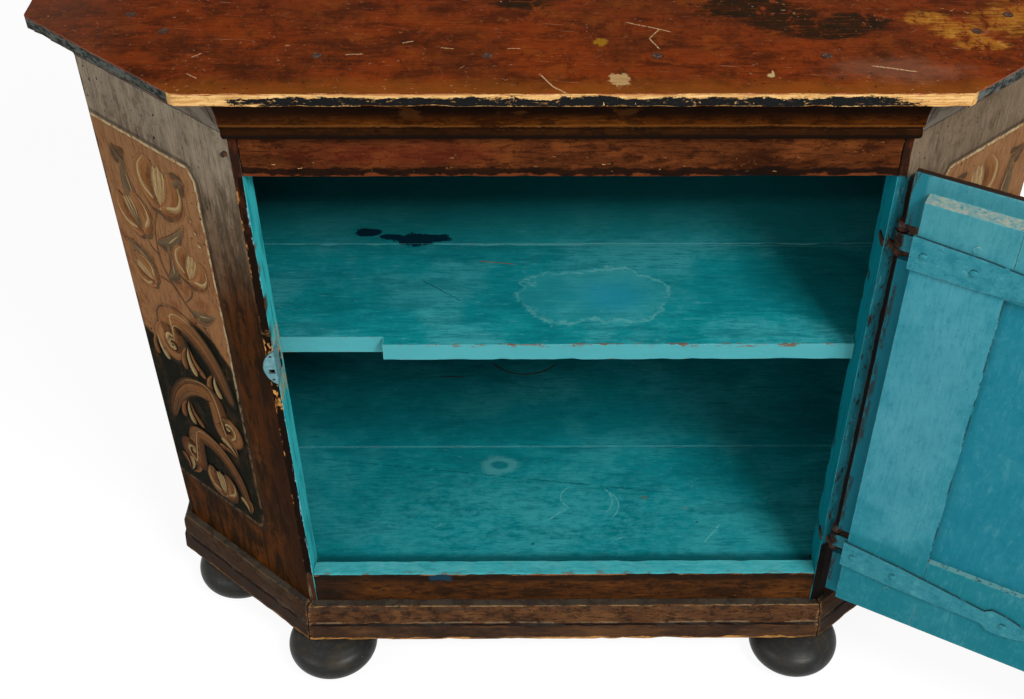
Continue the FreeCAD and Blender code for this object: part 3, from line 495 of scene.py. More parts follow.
def brown_paint(name, base, dark, light, along=(8, 1, 1), edge=(260, 120, 50), wear=0.7):
    """Old brown paint, brushed one way and rubbed on its arrises.

    Returns the material, its colour and height, and the noise of its patches.
    """
    f = Finish(name, roughness=0.42, specular=0.010)
    grain = f.noise(340, 7, 0.74, stretch=along, distortion=0.1)
    patches = f.noise(26, 7, 0.70, stretch=shorter(along, 3), shift=3.0)
    smudges = f.noise(80, 7, 0.76, stretch=shorter(along, 4), shift=33.0)
    colour = f.layers(
        base,
        (patches, 0.5, 0.6, 0.75, light), (patches, 0.47, 0.38, 0.75, dark),
        (smudges, 0.51, 0.59, 0.75, dark), (smudges, 0.42, 0.34, 0.45, light),
        (grain, 0.5, 0.6, 0.7, dark), (grain, 0.44, 0.36, 0.3, light),
    )
    chipped = f.edges(0.0022, 0.02, 0.15) * f.blots(0.53, 0.57, 210, 6, 0.75, shift=4.0) * wear
    specks = f.blots(0.68, 0.71, 420, 3, 0.6, shift=8.0) * f.blots(0.44, 0.6, 20, 3, 0.6, shift=18.0) * 0.6
    pits = f.blots(0.66, 0.69, 300, 3, 0.6, shift=28.0) * 0.75
    colour = f.layers(
        colour,
        (pits, tuple(0.35 * value for value in dark)),
        (f.most(chipped, specks), edge),
    )
    return f, colour, grain * 0.6 + chipped * -0.8, patches


def frieze_finish():
    """Frieze: brown, darker along its lower edge, with a dull red patch."""
    f, colour, height, patches = brown_paint("frieze_brown", (68, 18, 5.2), (18, 5.2, 2), (125, 34, 8))
    level = f.z + f.ragged(90, 0.02, 2.0, wide=2.5)
    low = f.step(level, FRIEZE_BOTTOM + 0.0120, FRIEZE_BOTTOM + 0.0085)
    line = f.step(level, FRIEZE_BOTTOM + 0.003, FRIEZE_BOTTOM + 0.0015) * f.step(patches, 0.4, 0.5)
    red = f.spot((-0.165, 0.802), (0.095, 0.011), 0.8, f.ragged(50, 2.6, 5.0), v=f.z) * 0.35
    chips = (
        f.blots(0.68, 0.695, 260, 3, 0.6, wide=3.0, shift=31.0)
        * f.blots(0.42, 0.56, 24, 3, 0.6, shift=41.0)
        * f.between(f.z, FRIEZE_BOTTOM + 0.005, FRIEZE_BOTTOM + 0.024, 0.004))
    colour = f.layers(
        colour,
        (red, (105, 13, 6)),
        (low * 0.9, (6, 3.2, 2.4)),
        (line * 0.7, (150, 36, 10)),
        (chips * 0.85, (460, 250, 90)),
        (f.y, 0.0012, 0.0025, TURQUOISE_DEEP),
    )
    return f.paint(colour, 0.38 + patches * 0.12, height, 0.0005, 0.4)


def cornice_finish():
    """Cornice: brown, near black above as painted shade under the top's overhang, a painted highlight on its lit
    arris, and painted shade over its lower member and foot.
    """
    f, colour, height, patches = brown_paint("cornice_brown", (60, 14.5, 1.6), (14, 3.8, 0.6), (110, 32, 3.6))
    level = f.z + f.ragged(40, 0.005, 2.0, wide=5)
    upper = f.step(level, CORNICE_LOW.z + 0.019, CORNICE_LOW.z + 0.036)
    blots = f.blots(0.6, 0.66, 30, 4, 0.6, wide=2, shift=19.0) * upper
    shadow = f.step(level, CORNICE_LOW.z + 0.0178, CORNICE_LOW.z + 0.0162)
    arris = f.between(level, CORNICE_LOW.z + 0.0180, CORNICE_LOW.z + 0.0196, 0.0006)
    foot = f.step(level, CORNICE_LOW.z + 0.0095, CORNICE_LOW.z + 0.0065)
    colour = f.layers(
        colour,
        # Painted shade under the top's overhang.
        (upper * 0.94, (6, 2.2, 1)),
        (blots * 0.4, (90, 30, 7)),
        (f.x, -0.17, -0.3, 0.45, (18, 6, 2)),
        # Painted shade over the lower member.
        (shadow * 0.8, (7.5, 3.5, 1.8)),
        # Painted highlight on the arris.
        (arris * f.step(patches, 0.36, 0.46) * 0.6, (125, 48, 10)),
        # Painted shade in the undercut at the foot.
        (foot * 0.85, (6, 3, 2)),
    )
    return f.paint(colour, 0.34 + patches * 0.15, height, 0.0005, 0.4)


def base_finish():
    """Base moulding: brown, worn along its arrises and chipped to bare wood at its foot; a near black line under
    the fillet is painted shade, and light patches on the fillet and ledges are partly wear, partly painted
    highlight.
    """
    f, colour, height, _ = brown_paint(
        "base_brown", (78, 33, 14), (20, 11, 7.2), (130, 58, 22), along=(5, 5, 1), edge=(300, 175, 85))
    level = f.z + f.ragged(60, 0.0035, 0.0, stretch=(3, 3, 1))
    ledge = f.step(f.facing[2], 0.35, 0.75)
    arris = f.between(level, BASE_HIGH.z - 0.0030, BASE_HIGH.z - 0.0012, 0.0006)
    groove_shade = f.between(level, BASE_LOW.z + 0.0250, BASE_LOW.z + 0.0288, 0.0009)
    fillet = f.between(level, BASE_LOW.z + 0.0290, BASE_LOW.z + 0.0318, 0.0008)
    lower = f.step(level, BASE_LOW.z + 0.0255, BASE_LOW.z + 0.0230)
    chips = (
        f.step(f.z + f.ragged(70, 0.014, 5.0, stretch=(3, 3, 1)), BASE_LOW.z + 0.0042, BASE_LOW.z + 0.003)
        * (0.3 + f.blots(0.44, 0.54, 30, 5, 0.7, stretch=(2, 2, 1), shift=47.0) * 0.7))
    worn = f.blots(0.47, 0.54, 120, 7, 0.78, stretch=(3, 3, 1), shift=7.0)
    reddish = f.blots(0.5, 0.66, 36, 4, 0.6, stretch=(5, 5, 1), shift=3.0)
    on_front = f.step(abs(f.facing[0]), 0.35, 0.2)
    colour = f.layers(
        colour,
        ((1.0 - on_front) * 0.65, (22, 13.5, 8)),
        (lower * 0.7, (26, 16, 12)),
        (lower * reddish * on_front * 0.7, (110, 50, 20)),
        # Painted shade: a near black line just under the fillet.
        (groove_shade * 0.95, (7, 5, 5)),
        # Light patches on the fillet and the upward ledges: partly wear, partly painted highlight.
        (fillet * worn * (0.25 + on_front * 0.45), (200, 135, 78)),
        (ledge * 0.85, (26, 23, 19)),
        (ledge * worn * 0.3, (90, 72, 48)),
        (ledge * worn * (1.0 - on_front) * 0.3, (130, 115, 80)),
        (arris * worn * (1.0 - ledge) * (0.3 + on_front * 0.5), (250, 150, 65)),
        (chips * (0.35 + on_front * 0.55), (420, 200, 55)),
    )
    seam = abs(f.across - (FRONT_HALF - f.y * MITRE_SLOPE))
    near_front = f.step(f.y, 0.006, -0.002)
    beside_seam = f.step(seam, 0.006, 0.002) * near_front * f.blots(0.5, 0.55, 190, 7, 0.78, shift=23.0)
    colour = f.layers(
        colour,
        (beside_seam * 0.8, (230, 110, 45)),
        (seam, 0.0011, 0.0005, near_front, (15, 8, 6)),
        (f.facing[2], -0.6, -0.9, (160, 100, 55)),
    )
    return f.paint(colour, None, height, 0.0007, 0.5)


def cant_along(f):
    """Distance from the front corner along a canted face, the same on both sides."""
    return (f.across - FRONT_HALF) * CANT_ALONG.x + f.y * CANT_ALONG.y


def painted_ground(f, along, level):
    """Salmon field over a black-green one, with a wavy border between them, and the paint's grain."""
    grain = f.noise(340, 7, 0.74, tall=10, shift=40.0)
    mottle = f.noise(46, 8, 0.76, tall=1.6, shift=8.0)
    salmon = f.layers(
        SALMON,
        (mottle, 0.5, 0.62, 0.75, (150, 52, 19)), (mottle, 0.44, 0.34, 0.6, (330, 172, 82)),
        (level, 0.56, 0.72, 0.4, (255, 135, 62)),
        (grain, 0.5, 0.6, 0.5, (95, 42, 20)),
    )
    dark = f.layers(GREEN_BLACK, (mottle, 0.48, 0.6, (20, 13, 5.5)), (mottle, 0.6, 0.68, 0.7, (85, 34, 10)))
    swing = f.math("SINE", along * 34.0 + 0.6) * 0.034
    border = level + swing + f.ragged(55, 0.022, 47.0)
    return f.mix(f.step(border, FIELD_MIDDLE + 0.006, FIELD_MIDDLE - 0.006), salmon, dark), grain


def canted_finish():
    """Canted boards: grey-brown to red-brown paint with a framed painted field, and turquoise inside; the
    turquoise is paler on the left as painted light, and the right board is near black as painted shade in the gap
    by the hinged door.
    """
    f = Finish("canted_paint", roughness=0.48, specular=0.006)
    along = cant_along(f)
    grain = f.noise(380, 7, 0.74, tall=14)
    broad = f.noise(70, 7, 0.72, tall=5, shift=3.0)
    mottle = f.noise(34, 7, 0.74, tall=1.5, shift=51.0)
    dust = f.noise(420, 4, 0.7, shift=71.0)
    fade = f.step(f.z + f.ragged(12, 0.34, 0.0, tall=3), 0.56, 0.84)
    brown = f.mix(f.step(broad, 0.42, 0.6), (68, 19.5, 2.6), (12.5, 5.8, 1.4))
    grey = f.mix(f.step(broad, 0.42, 0.6), (240, 182, 122), (118, 88, 57))
    holes = f.blots(0.745, 0.755, 190, 1, 0.4, shift=11.0)
    ground = f.layers(
        f.mix(fade, brown, grey),
        (f.z, 0.72, 0.8, 0.6, (290, 240, 175)),
        (f.x, 0.02, 0.03, 0.05 + fade * 0.6, (98, 60, 30)),
        (mottle, 0.5, 0.62, 0.45, f.mix(fade, (20, 8.5, 3), (50, 32, 20))),
        (f.step(mottle, 0.44, 0.34) * (1.0 - fade) * 0.6, (110, 36, 7.5)),
        (f.step(mottle, 0.44, 0.34) * fade * 0.45, (260, 215, 155)),
        (grain, 0.5, 0.6, 0.4, f.mix(fade, (10, 5, 2), (34, 23, 15))),
        (dust, 0.64, 0.7, 0.15 + fade * 0.45, (330, 270, 190)), (dust, 0.38, 0.32, 0.5, (20, 12, 8)),
        (f.step(along, 0.06, 0.0) * f.step(f.z, 0.7, 0.4) * 0.75, (16, 6, 2.2)),
    )

    wobble = f.ragged(110, 0.0035, 6.0)
    inside_front = along + wobble - FIELD_FRONT
    inside_high = FIELD_TOP - (f.z + wobble)
    inside_low = f.z + wobble - FIELD_BOTTOM
    cut_high = (inside_front + inside_high * 0.6 - FIELD_CUT) * 0.86
    cut_low = (inside_front + inside_low * 0.6 - FIELD_CUT) * 0.86
    depth = f.least(inside_front, inside_high, inside_low, cut_high, cut_low)
    line_worn = f.blots(0.6, 0.44, 180, 5, 0.75, tall=2, shift=2.0)
    faded = f.step(f.z + f.ragged(20, 0.3, 81.0), 0.6, 0.3)
    painted = painted_ground(f, along, f.z)[0]
    colour = f.layers(
        ground,
        (f.between(depth, -0.005, 0.0, 0.0012) * 0.55, (24, 17, 11)),
        (depth, 0.0, 0.001, painted),
        (f.between(depth, 0.0008, 0.0042, 0.0006) * line_worn * 0.8, f.mix(faded, CREAM, (135, 72, 30))),
        (f.between(depth, 0.0048, 0.006, 0.0006) * line_worn * 0.5, (60, 30, 18)),
        (holes, (9, 7, 6)),
    )
    rubbed = f.edges(0.003, 0.02, 0.15) * f.blots(0.44, 0.56, 110, 5, 0.7, shift=5.0)
    colour = f.mix(rubbed * 0.6, colour, (200, 120, 70))

    # The strip in front, and turquoise on the jamb and inside, paler on the left side as painted light.
    on_jamb = (
        f.step(f.across, FRONT_HALF - STRIP + 0.001, FRONT_HALF - STRIP + 0.0003)
        * f.step(f.z, FRIEZE_BOTTOM + 0.001, FRIEZE_BOTTOM - 0.001))
    on_strip = f.step(f.facing[1], -0.86, -0.95) * f.step(f.across, FRONT_HALF + 0.002, FRONT_HALF)
    inward = (f.across - FRONT_HALF) * CANT_OUT.x - f.y * -CANT_OUT.y
    inside = f.step(inward, 0.004 - CANT_THICK, 0.001 - CANT_THICK)
    brush = f.noise(170, 5, 0.62, tall=10, shift=1.0)
    turquoise = f.layers(
        # Paler turquoise on the left, where the light falls on the jamb: painted light.
        f.mix(f.step(f.x, 0.01, -0.01), (4, 180, 225), (36, 400, 420)),
        (brush, 0.5, 0.62, 0.6, TURQUOISE_DEEP),
        (f.edges(0.0028, 0.02, 0.15) * f.step(brush, 0.65, 0.4) * 0.7, TURQUOISE_PALE),
        (f.edges(0.0022, 0.03, 0.2) * f.blots(0.56, 0.61, 120, 5, 0.75, shift=12.0), (200, 75, 22)),
    )
    from_jamb = f.across - (FRONT_HALF - STRIP)
    flake = f.noise(95, 6, 0.75, tall=5, shift=9.0)
    flake_fine = f.noise(240, 5, 0.7, tall=3, shift=29.0)
    left_strip = f.layers(
        (8, 4.5, 3),
        (f.step(f.z, 0.6, 0.76) * f.step(flake, 0.5, 0.58) * 0.6, (52, 15, 5)),
        (from_jamb + flake * -0.016, -0.0066, -0.0074, f.step(flake_fine, 0.5, 0.54), (140, 300, 360)),
        (from_jamb + flake * 0.008, 0.0118, 0.0128, f.step(flake_fine, 0.55, 0.58), (340, 140, 35)),
    )
    right_strip = f.layers(
        (10, 120, 150),
        (flake, 0.42, 0.36, 0.9, (60, 215, 255)), (flake, 0.575, 0.605, (32, 22, 16)),
        (flake_fine, 0.57, 0.61, 0.9, (20, 11, 8)),
    )
    on_right = f.step(f.x, 0.02, 0.03)
    strip = f.mix(f.step(f.x, 0.01, -0.01), right_strip, left_strip)
    # Near black on the right board just past its front corner, in the gap by the hinged door: painted shade.
    gap = (
        on_right * f.step(along, 0.016, 0.012)
        * f.step(f.z, FRIEZE_BOTTOM + 0.002, FRIEZE_BOTTOM - 0.004) * (1.0 - f.most(on_strip, inside)))
    beside_frieze = (
        f.step(f.across, FRONT_HALF - STRIP + 0.0012, FRONT_HALF - STRIP + 0.0004)
        * f.step(f.z, FRIEZE_BOTTOM - 0.001, FRIEZE_BOTTOM + 0.001))
    near_keeper = (
        f.spot((-0.316, 0.519), (0.016, 0.052), 0.2, f.ragged(90, 1.4, 61.0), v=f.z)
        * f.step(flake_fine, 0.5, 0.56))
    below_sill = f.mix(f.step(flake, 0.45, 0.6), (45, 18, 8), (150, 110, 75))
    beside_top = f.mix(f.step(flake, 0.44, 0.54), (50, 14, 6), (18, 8, 5))
    # Strip colour at the corner, then near black: painted shade in the gap.
    shaded_gap = f.mix(f.step(along + flake * 0.006, 0.0082, 0.0097), right_strip, (6, 4.5, 3.5))
    right_low = on_right * f.most(on_strip, gap) * f.step(f.z + f.ragged(60, 0.03, 91.0), 0.232, 0.222)
    colour = f.layers(
        colour,
        (on_strip, strip),
        (f.z, RAIL_HIGH.z + 0.006, RAIL_HIGH.z - 0.004, on_strip, below_sill),
        (f.z, FRIEZE_BOTTOM - 0.002, FRIEZE_BOTTOM + 0.002, on_strip, beside_top),
        (gap, shaded_gap),
        (right_low, (9, 7, 6)),
        (f.most(on_jamb, inside), turquoise),
        (beside_frieze, (10, 5, 3)),
        (near_keeper * f.most(on_jamb, on_strip), (460, 220, 60)),
    )
    return f.paint(colour, 0.42 + grain * 0.15, grain * 0.5 + f.most(holes, rubbed) * -0.8, 0.0006, 0.35)


def turquoise_finish(name, along, marks=None, base=TURQUOISE, deep=TURQUOISE_DEEP, pale=TURQUOISE_PALE):
    """Scuffed turquoise paint, brushed one way; marks adds what happened to one board and any painted light and
    shade on it.
    """
    f = Finish(name, roughness=0.5, specular=0.03)
    brush = f.noise(330, 7, 0.74, stretch=along)
    grain = f.noise(44, 7, 0.7, stretch=shorter(along, 2), distortion=0.5, shift=9.0)
    clouds = f.noise(9, 6, 0.66, shift=3.0)
    fine = f.noise(120, 8, 0.78, wide=2.2, shift=6.0)
    colour = f.layers(
        base,
        (clouds, 0.46, 0.62, 0.45, pale), (clouds, 0.48, 0.36, 0.4, deep),
        (grain, 0.5, 0.62, 0.5, deep),
        (fine, 0.54, 0.64, 0.32, deep), (fine, 0.42, 0.34, 0.36, pale),
        (brush, 0.5, 0.6, 0.55, deep), (brush, 0.43, 0.35, 0.35, pale),
    )
    worn = f.edges(0.0035, 0.015, 0.12) * f.blots(0.25, 0.55, 70, 5, 0.7, shift=5.0)
    chips = f.edges(0.0022, 0.03, 0.2) * f.blots(0.57, 0.62, 150, 5, 0.75, shift=12.0)
    scuffs = f.most(
        f.scratches(24, 700, 16, 0.745, 2.0) * f.blots(0.5, 0.58, 15, 2, 0.5, shift=7.0),
        f.scratches(-52, 640, 13, 0.75, 5.0) * f.blots(0.5, 0.6, 13, 2, 0.5, shift=17.0),
        f.scratches(3, 760, 20, 0.735, 25.0) * f.blots(0.48, 0.58, 12, 3, 0.5, shift=27.0),
    )
    specks = f.blots(0.685, 0.71, 330, 3, 0.6, shift=15.0)
    colour = f.layers(
        colour,
        (worn * 0.85, (85, 375, 410)),
        (scuffs * 0.6, (140, 420, 440)),
        (specks * 0.7, (2, 40, 55)),
    )
    if marks is not None:
        colour = marks(f, colour, fine)
    colour = f.mix(chips, colour, (260, 85, 25))
    return f.paint(colour, 0.42 + brush * 0.2, brush * 0.6 + f.most(chips, scuffs) * -0.7, 0.0005, 0.4)


def shelf_marks_and_shading(f, colour, fine):
    """Ink stains, a blue ring, a crack and worn arrises of the shelf's front board, with painted light towards the
    back, a painted shadow of the top at the very back and painted shade in the middle.
    """
    ragged = f.ragged(75, 2.0, 2.0)
    stain = f.most(
        f.spot((-0.236, 0.227), (0.016, 0.008), 0.10, ragged),
        f.spot((-0.208, 0.219), (0.016, 0.005), 0.15, ragged),
        f.spot((-0.178, 0.213), (0.024, 0.012), 0.10, ragged),
        f.spot((-0.152, 0.216), (0.016, 0.008), 0.15, ragged),
    )
    soft = f.ragged(20, 1.1, 4.0)
    ring = f.spot((0.027, 0.108), (0.088, 0.050), 0.035, soft)
    inner = f.spot((0.027, 0.108), (0.083, 0.046), 0.050, soft)
    blue = f.spot((0.050, 0.108), (0.034, 0.024), 0.7, ragged)
    crack_y = SHELF_HIGH.y + f.x * -0.01 + fine * 0.003
    crack = f.between(f.y - crack_y, -0.005, -0.0026, 0.0006) * f.step(f.x, -0.16, -0.13)
    chipped = (
        f.blots(0.535, 0.555, 150, 5, 0.7, wide=3.5, shift=43.0)
        * f.blots(0.4, 0.5, 14, 3, 0.6, wide=1.5, shift=53.0)
        * f.step(f.y, SHELF_LOW.y + 0.0036, SHELF_LOW.y + 0.0024)
        * f.step(f.z, SHELF_HIGH.z - 0.0046, SHELF_HIGH.z - 0.0034))
    return f.layers(
        colour,
        # Painted light: lighter towards the back.
        (f.y, 0.17, 0.27, 0.55, (20, 300, 320)),
        # Painted shadow of the top at the very back.
        (f.y + fine * 0.02, 0.282, 0.318, 0.6, (0.5, 60, 70)),
        # Painted shade in the middle.
        (f.between(f.y, 0.09, 0.17, 0.04) * 0.35, (1, 105, 122)),
        (stain * 0.95, (1, 14, 32)),
        (ring * 0.35, (24, 240, 270)),
        ((ring - inner) * f.step(fine, 0.6, 0.44) * 0.5, (130, 380, 370)),
        ((ring - inner) * f.step(fine, 0.56, 0.62) * 0.5, (20, 115, 120)),
        (blue * ring * 0.45, (10, 215, 330)),
        (crack * 0.6, (55, 300, 310)),
        (f.facing[1], -0.4, -0.8, 0.85, (66, 300, 325)),
        (chipped * 0.85, (150, 55, 20)),
        (f.line((-0.165, 0.135), (-0.12, 0.1), 0.0009, f.ragged(30, 0.01, 8.0)), (3, 75, 90)),
        (f.line((-0.1, 0.172), (-0.06, 0.166), 0.001, f.ragged(30, 0.006, 8.0)), (160, 75, 28)),
    )


def ring_mark(f, centre, radius, width):
    """Thin circular mark on a board."""
    return f.step(abs(f.reach(f.x - centre[0], f.y - centre[1]) - radius), width, width * 0.5)


def floor_marks_and_shading(f, colour, fine):
    """Pale drips, a crack and small scrapes of the floor's front board, a darker band further back, a painted pool
    of light in front and painted shade behind the sill.
    """
    ragged = f.ragged(30, 1.5, 2.0)
    # Painted light: a broad pale pool on the front of the floor.
    light_pool = f.spot((-0.03, 0.105), (0.23, 0.07), 0.7, ragged) * f.step(fine, 0.58, 0.42)
    halo = f.spot((-0.085, 0.197), (0.026, 0.017), 0.20, ragged)
    core = f.spot((-0.085, 0.197), (0.012, 0.007), 0.30, ragged)
    aside = f.y - (0.163 + f.x * -0.135 + fine * 0.004)
    crack = (
        f.between(aside + f.ragged(120, 0.004, 21.0), -0.001, 0.001, 0.0006) * f.step(fine, 0.42, 0.5)
        * f.step(f.x, -0.38, -0.3) * f.step(f.x, 0.16, 0.12))
    # Painted shade in the strip just behind the sill.
    sill_shade = f.step(f.y + f.ragged(60, 0.012, 31.0), 0.047, 0.034)
    arc = ring_mark(f, (-0.052, 0.436), 0.058, 0.0016) * f.step(f.y, 0.404, 0.398)
    broken = f.blots(0.42, 0.52, 260, 5, 0.7, shift=63.0)
    loops = (
        broken
        * f.most(
            ring_mark(f, (0.016, 0.138), 0.019, 0.0012) * f.step(f.x, 0.01, 0.004),
            ring_mark(f, (0.04, 0.132), 0.026, 0.0014) * f.step(f.x, 0.054, 0.06),
            ring_mark(f, (0.046, 0.124), 0.028, 0.0012) * f.step(f.x, 0.062, 0.068),
            f.line((0.183, 0.06), (0.205, 0.089), 0.0014),
            f.line((0.062, 0.062), (0.076, 0.068), 0.0014),
            f.line((-0.02, 0.098), (0.004, 0.118), 0.0014),
            f.line((-0.168, 0.085), (-0.16, 0.092), 0.001),
        ))
    dots = f.spots([(0.109, 0.137, 0.0036, 0.003), (0.162, 0.118, 0.0026, 0.003)], 0.5, ragged)
    pits = f.spots([(0.176, 0.094, 0.0022, 0.0016), (-0.04, 0.058, 0.002, 0.0016)], 0.4)
    return f.layers(
        colour,
        (f.between(f.y, 0.24, 0.32, 0.05) * 0.45, (1, 85, 97)),
        (loops * 0.55, (150, 420, 390)),
        (dots * 0.6, (110, 85, 35)),
        (pits * 0.9, (2, 20, 20)),
        (light_pool * 0.45, (45, 310, 330)),
        ((halo - core) * 0.35, (110, 380, 390)),
        (core * 0.45, (4, 100, 120)),
        (sill_shade * 0.8, (2, 52, 60)),
        (crack * 0.65, (2, 60, 75)),
        (f.most(arc, f.line((-0.175, 0.3746), (-0.14, 0.3723), 0.0014)), (52, 28, 10)),
    )


def rail_finish():
    """Bottom rail: turquoise on its top edge, brown in front."""
    f, colour, height, patches = brown_paint("rail_brown", (56, 19, 5.5), (14, 7, 3.6), (100, 33, 7.5))
    upper = f.step(f.z + f.ragged(40, 0.02, 3.0, wide=3), RAIL_HIGH.z - 0.02, RAIL_HIGH.z - 0.011)
    brush = f.noise(170, 5, 0.62, wide=9, shift=1.0)
    clouds = f.noise(18, 4, 0.6, shift=21.0)
    sill = f.noise(150, 8, 0.78, wide=3, shift=71.0)
    sill_edges = f.most(f.step(f.y, 0.006, 0.002), f.step(f.y, RAIL_HIGH.y - 0.004, RAIL_HIGH.y - 0.001))
    turquoise = f.layers(
        (46, 330, 355),
        (brush, 0.5, 0.62, 0.6, (18, 250, 270)),
        (clouds, 0.48, 0.6, 0.5, (85, 340, 350)),
        (sill, 0.5, 0.6, 0.5, (14, 200, 215)), (sill, 0.45, 0.36, 0.5, (120, 410, 420)),
        (f.step(sill, 0.56, 0.6) * sill_edges * 0.7, (150, 80, 45)),
        (f.noise(260, 6, 0.76, wide=3, shift=51.0), 0.62, 0.65, 0.7, (120, 60, 35)),
    )
    blue = (
        f.between(f.x + f.ragged(90, 0.01, 9.0), -0.17, -0.142, 0.002)
        * f.step(f.z + f.ragged(110, 0.01, 19.0), RAIL_HIGH.z - 0.017, RAIL_HIGH.z - 0.013))
    level = f.z + f.ragged(110, 0.006, 14.0, wide=3)
    turned_edge = f.step(level, RAIL_HIGH.z - 0.003, RAIL_HIGH.z - 0.0012)
    orange = f.between(level, RAIL_HIGH.z - 0.0042, RAIL_HIGH.z - 0.0026, 0.0005) * f.step(brush, 0.5, 0.56)
    colour = f.layers(
        colour,
        (upper * 0.75, (8.5, 6.2, 4.2)),
        (f.x, -0.245, -0.3, 0.6, (8, 7.5, 6.2)),
        (blue * f.step(patches, 0.62, 0.44) * 0.75, (6, 40, 68)),
        (f.most(turned_edge, f.step(f.y, 0.0015, 0.003)), turquoise),
        (orange * f.step(f.y, 0.003, 0.0015), (300, 110, 30)),
    )
    return f.paint(colour, None, height, 0.0005, 0.4)


def door_finish():
    """Door: turquoise inside, brown outside and on the lip's edge, with a painted raised panel in front."""
    f = Finish("door_paint", roughness=0.5, specular=0.03)
    closed = f.turned(f.place, HINGE, -OPEN_ANGLE)
    u, v, w = f.split(closed)
    brush = f.noise(330, 7, 0.74, tall=9)
    weave = f.noise(90, 8, 0.78, tall=2.5, shift=33.0)
    clouds = f.noise(12, 6, 0.66, shift=3.0)
    fine = f.noise(120, 8, 0.80, shift=7.0)
    in_panel = f.step(v, INNER_FACE - 0.005, INNER_FACE - 0.0065)
    low_rail = f.step(w, 0.3, 0.292) * (1.0 - in_panel)
    high_rail = f.step(w, 0.700, 0.760)
    powder = f.spot((0.262, 0.52), (0.045, 0.17), 0.7, f.ragged(30, 1.6, 63.0), u, w) * (1.0 - in_panel)
    inner = f.layers(
        TEAL,
        (clouds, 0.46, 0.62, 0.45, TEAL_PALE), (clouds, 0.48, 0.36, 0.35, TEAL_DEEP),
        (powder * 0.55, (75, 265, 320)),
        (in_panel * 0.65, (6, 138, 192)),
        (low_rail * 0.7, (6, 138, 165)),
        (high_rail * 0.5, (70, 240, 255)),
        (weave, 0.5, 0.62, 0.3, TEAL_DEEP), (weave, 0.46, 0.36, 0.3, (70, 255, 300)),
        (brush, 0.5, 0.62, 0.25, TEAL_DEEP), (brush, 0.44, 0.35, 0.22, (80, 275, 320)),
        (fine, 0.54, 0.64, 0.22, (70, 260, 300)), (fine, 0.43, 0.36, 0.28, (5, 100, 138)),
    )
    worn = f.edges(0.003, 0.02, 0.15) * f.blots(0.42, 0.58, 80, 5, 0.7, shift=5.0)
    chips = f.edges(0.0022, 0.03, 0.2) * f.blots(0.555, 0.575, 150, 7, 0.8, shift=12.0)
    to_seam = abs(u + f.ragged(160, 0.0012, 77.0) - DOOR_STILE_EDGE)
    seam = (
        f.step(to_seam, 0.0016, 0.0009) * (1.0 - in_panel) * f.between(w, *DOOR_RAIL_EDGES, 0.001)
        * f.blots(0.42, 0.52, 60, 5, 0.7, tall=2, shift=79.0))
    facing_up = f.step(f.facing[2], 0.75, 0.95)
    ledge = facing_up * f.step(v, -0.001, 0.0)
    specks = f.blots(0.7, 0.72, 300, 3, 0.6, shift=15.0)
    on_hinge_edge = f.step(u, 0.312, 0.316)
    flake = f.noise(85, 6, 0.75, tall=5, shift=49.0)
    inner = f.layers(
        inner,
        (worn * 0.65, (100, 290, 310)),
        (ledge * f.step(w, 0.6, 0.7) * f.step(weave, 0.62, 0.5) * 0.85, (175, 260, 235)),
        (ledge * f.step(w, 0.6, 0.7) * f.step(fine, 0.52, 0.44) * 0.8, (300, 310, 245)),
        (ledge * f.step(w, 0.4, 0.3) * f.step(fine, 0.62, 0.48) * 0.85, (105, 240, 235)),
        (ledge * f.step(w, 0.4, 0.3) * f.step(fine, 0.54, 0.58) * 0.8, (30, 40, 36)),
        # Darker teal on the hinge-side lip and edge: painted shade.
        (on_hinge_edge * 0.7, (5, 118, 155)),
        (on_hinge_edge * f.step(u, 0.32, 0.3235) * f.step(flake, 0.48, 0.55) * 0.8, (30, 26, 24)),
        (specks * 0.65, (8, 35, 45)),
        (seam * 0.85, (6, 30, 36)),
        (chips, (60, 22, 11)),
    )
    grain = f.noise(280, 5, 0.65, tall=14, shift=8.0)
    mottle = f.noise(20, 5, 0.65, tall=2, shift=55.0)
    outer = f.layers(
        (75, 26, 10),
        (mottle, 0.46, 0.58, (30, 14, 7)),
        (grain, 0.48, 0.6, 0.6, (18, 9, 5)),
        (worn * 0.7, (220, 110, 50)),
    )

    def round_field(margin, soft):
        """1 within the door's painted field or a margin round it."""
        (left, low), (far, high) = DOOR_FIELD_LOW, DOOR_FIELD_HIGH
        return (
            f.between(u, left - margin, far + margin, soft) * f.between(w, low - margin, high + margin, soft))

    field = painted_ground(f, u * DOOR_DESIGN_SCALE, w)[0]
    in_field = round_field(0.0, 0.0008)
    field_line = round_field(0.004, 0.0006) - in_field
    outer = f.layers(outer, (in_field, field), (field_line * f.step(fine, 0.62, 0.46), CREAM))
    outside = f.step(v, LIP_FRONT + 0.0022, LIP_FRONT + 0.0012)
    opening = round_field(DOOR_FIELD_MARGIN, 0.0005) * f.step(v, 0.0045, 0.0035)
    on_front = f.most(outside, opening, f.step(f.dot(f.coordinates.outputs["Normal"], DOOR_FRONT), 0.8, 0.9))
    lip_edge = f.step(v, -0.0016, -0.003) * f.most(
        f.step(w, LIP_TOP - 0.002, LIP_TOP - 0.001),
        f.step(w, LIP_LOW + 0.002, LIP_LOW + 0.001),
        f.step(u, LIP_LOCK + 0.002, LIP_LOCK + 0.001))
    colour = f.layers(inner, (lip_edge, (22, 13, 10)), (on_front, outer))
    return f.paint(colour, 0.45 + brush * 0.15, brush * 0.6 + chips * -0.8, 0.0005, 0.4)


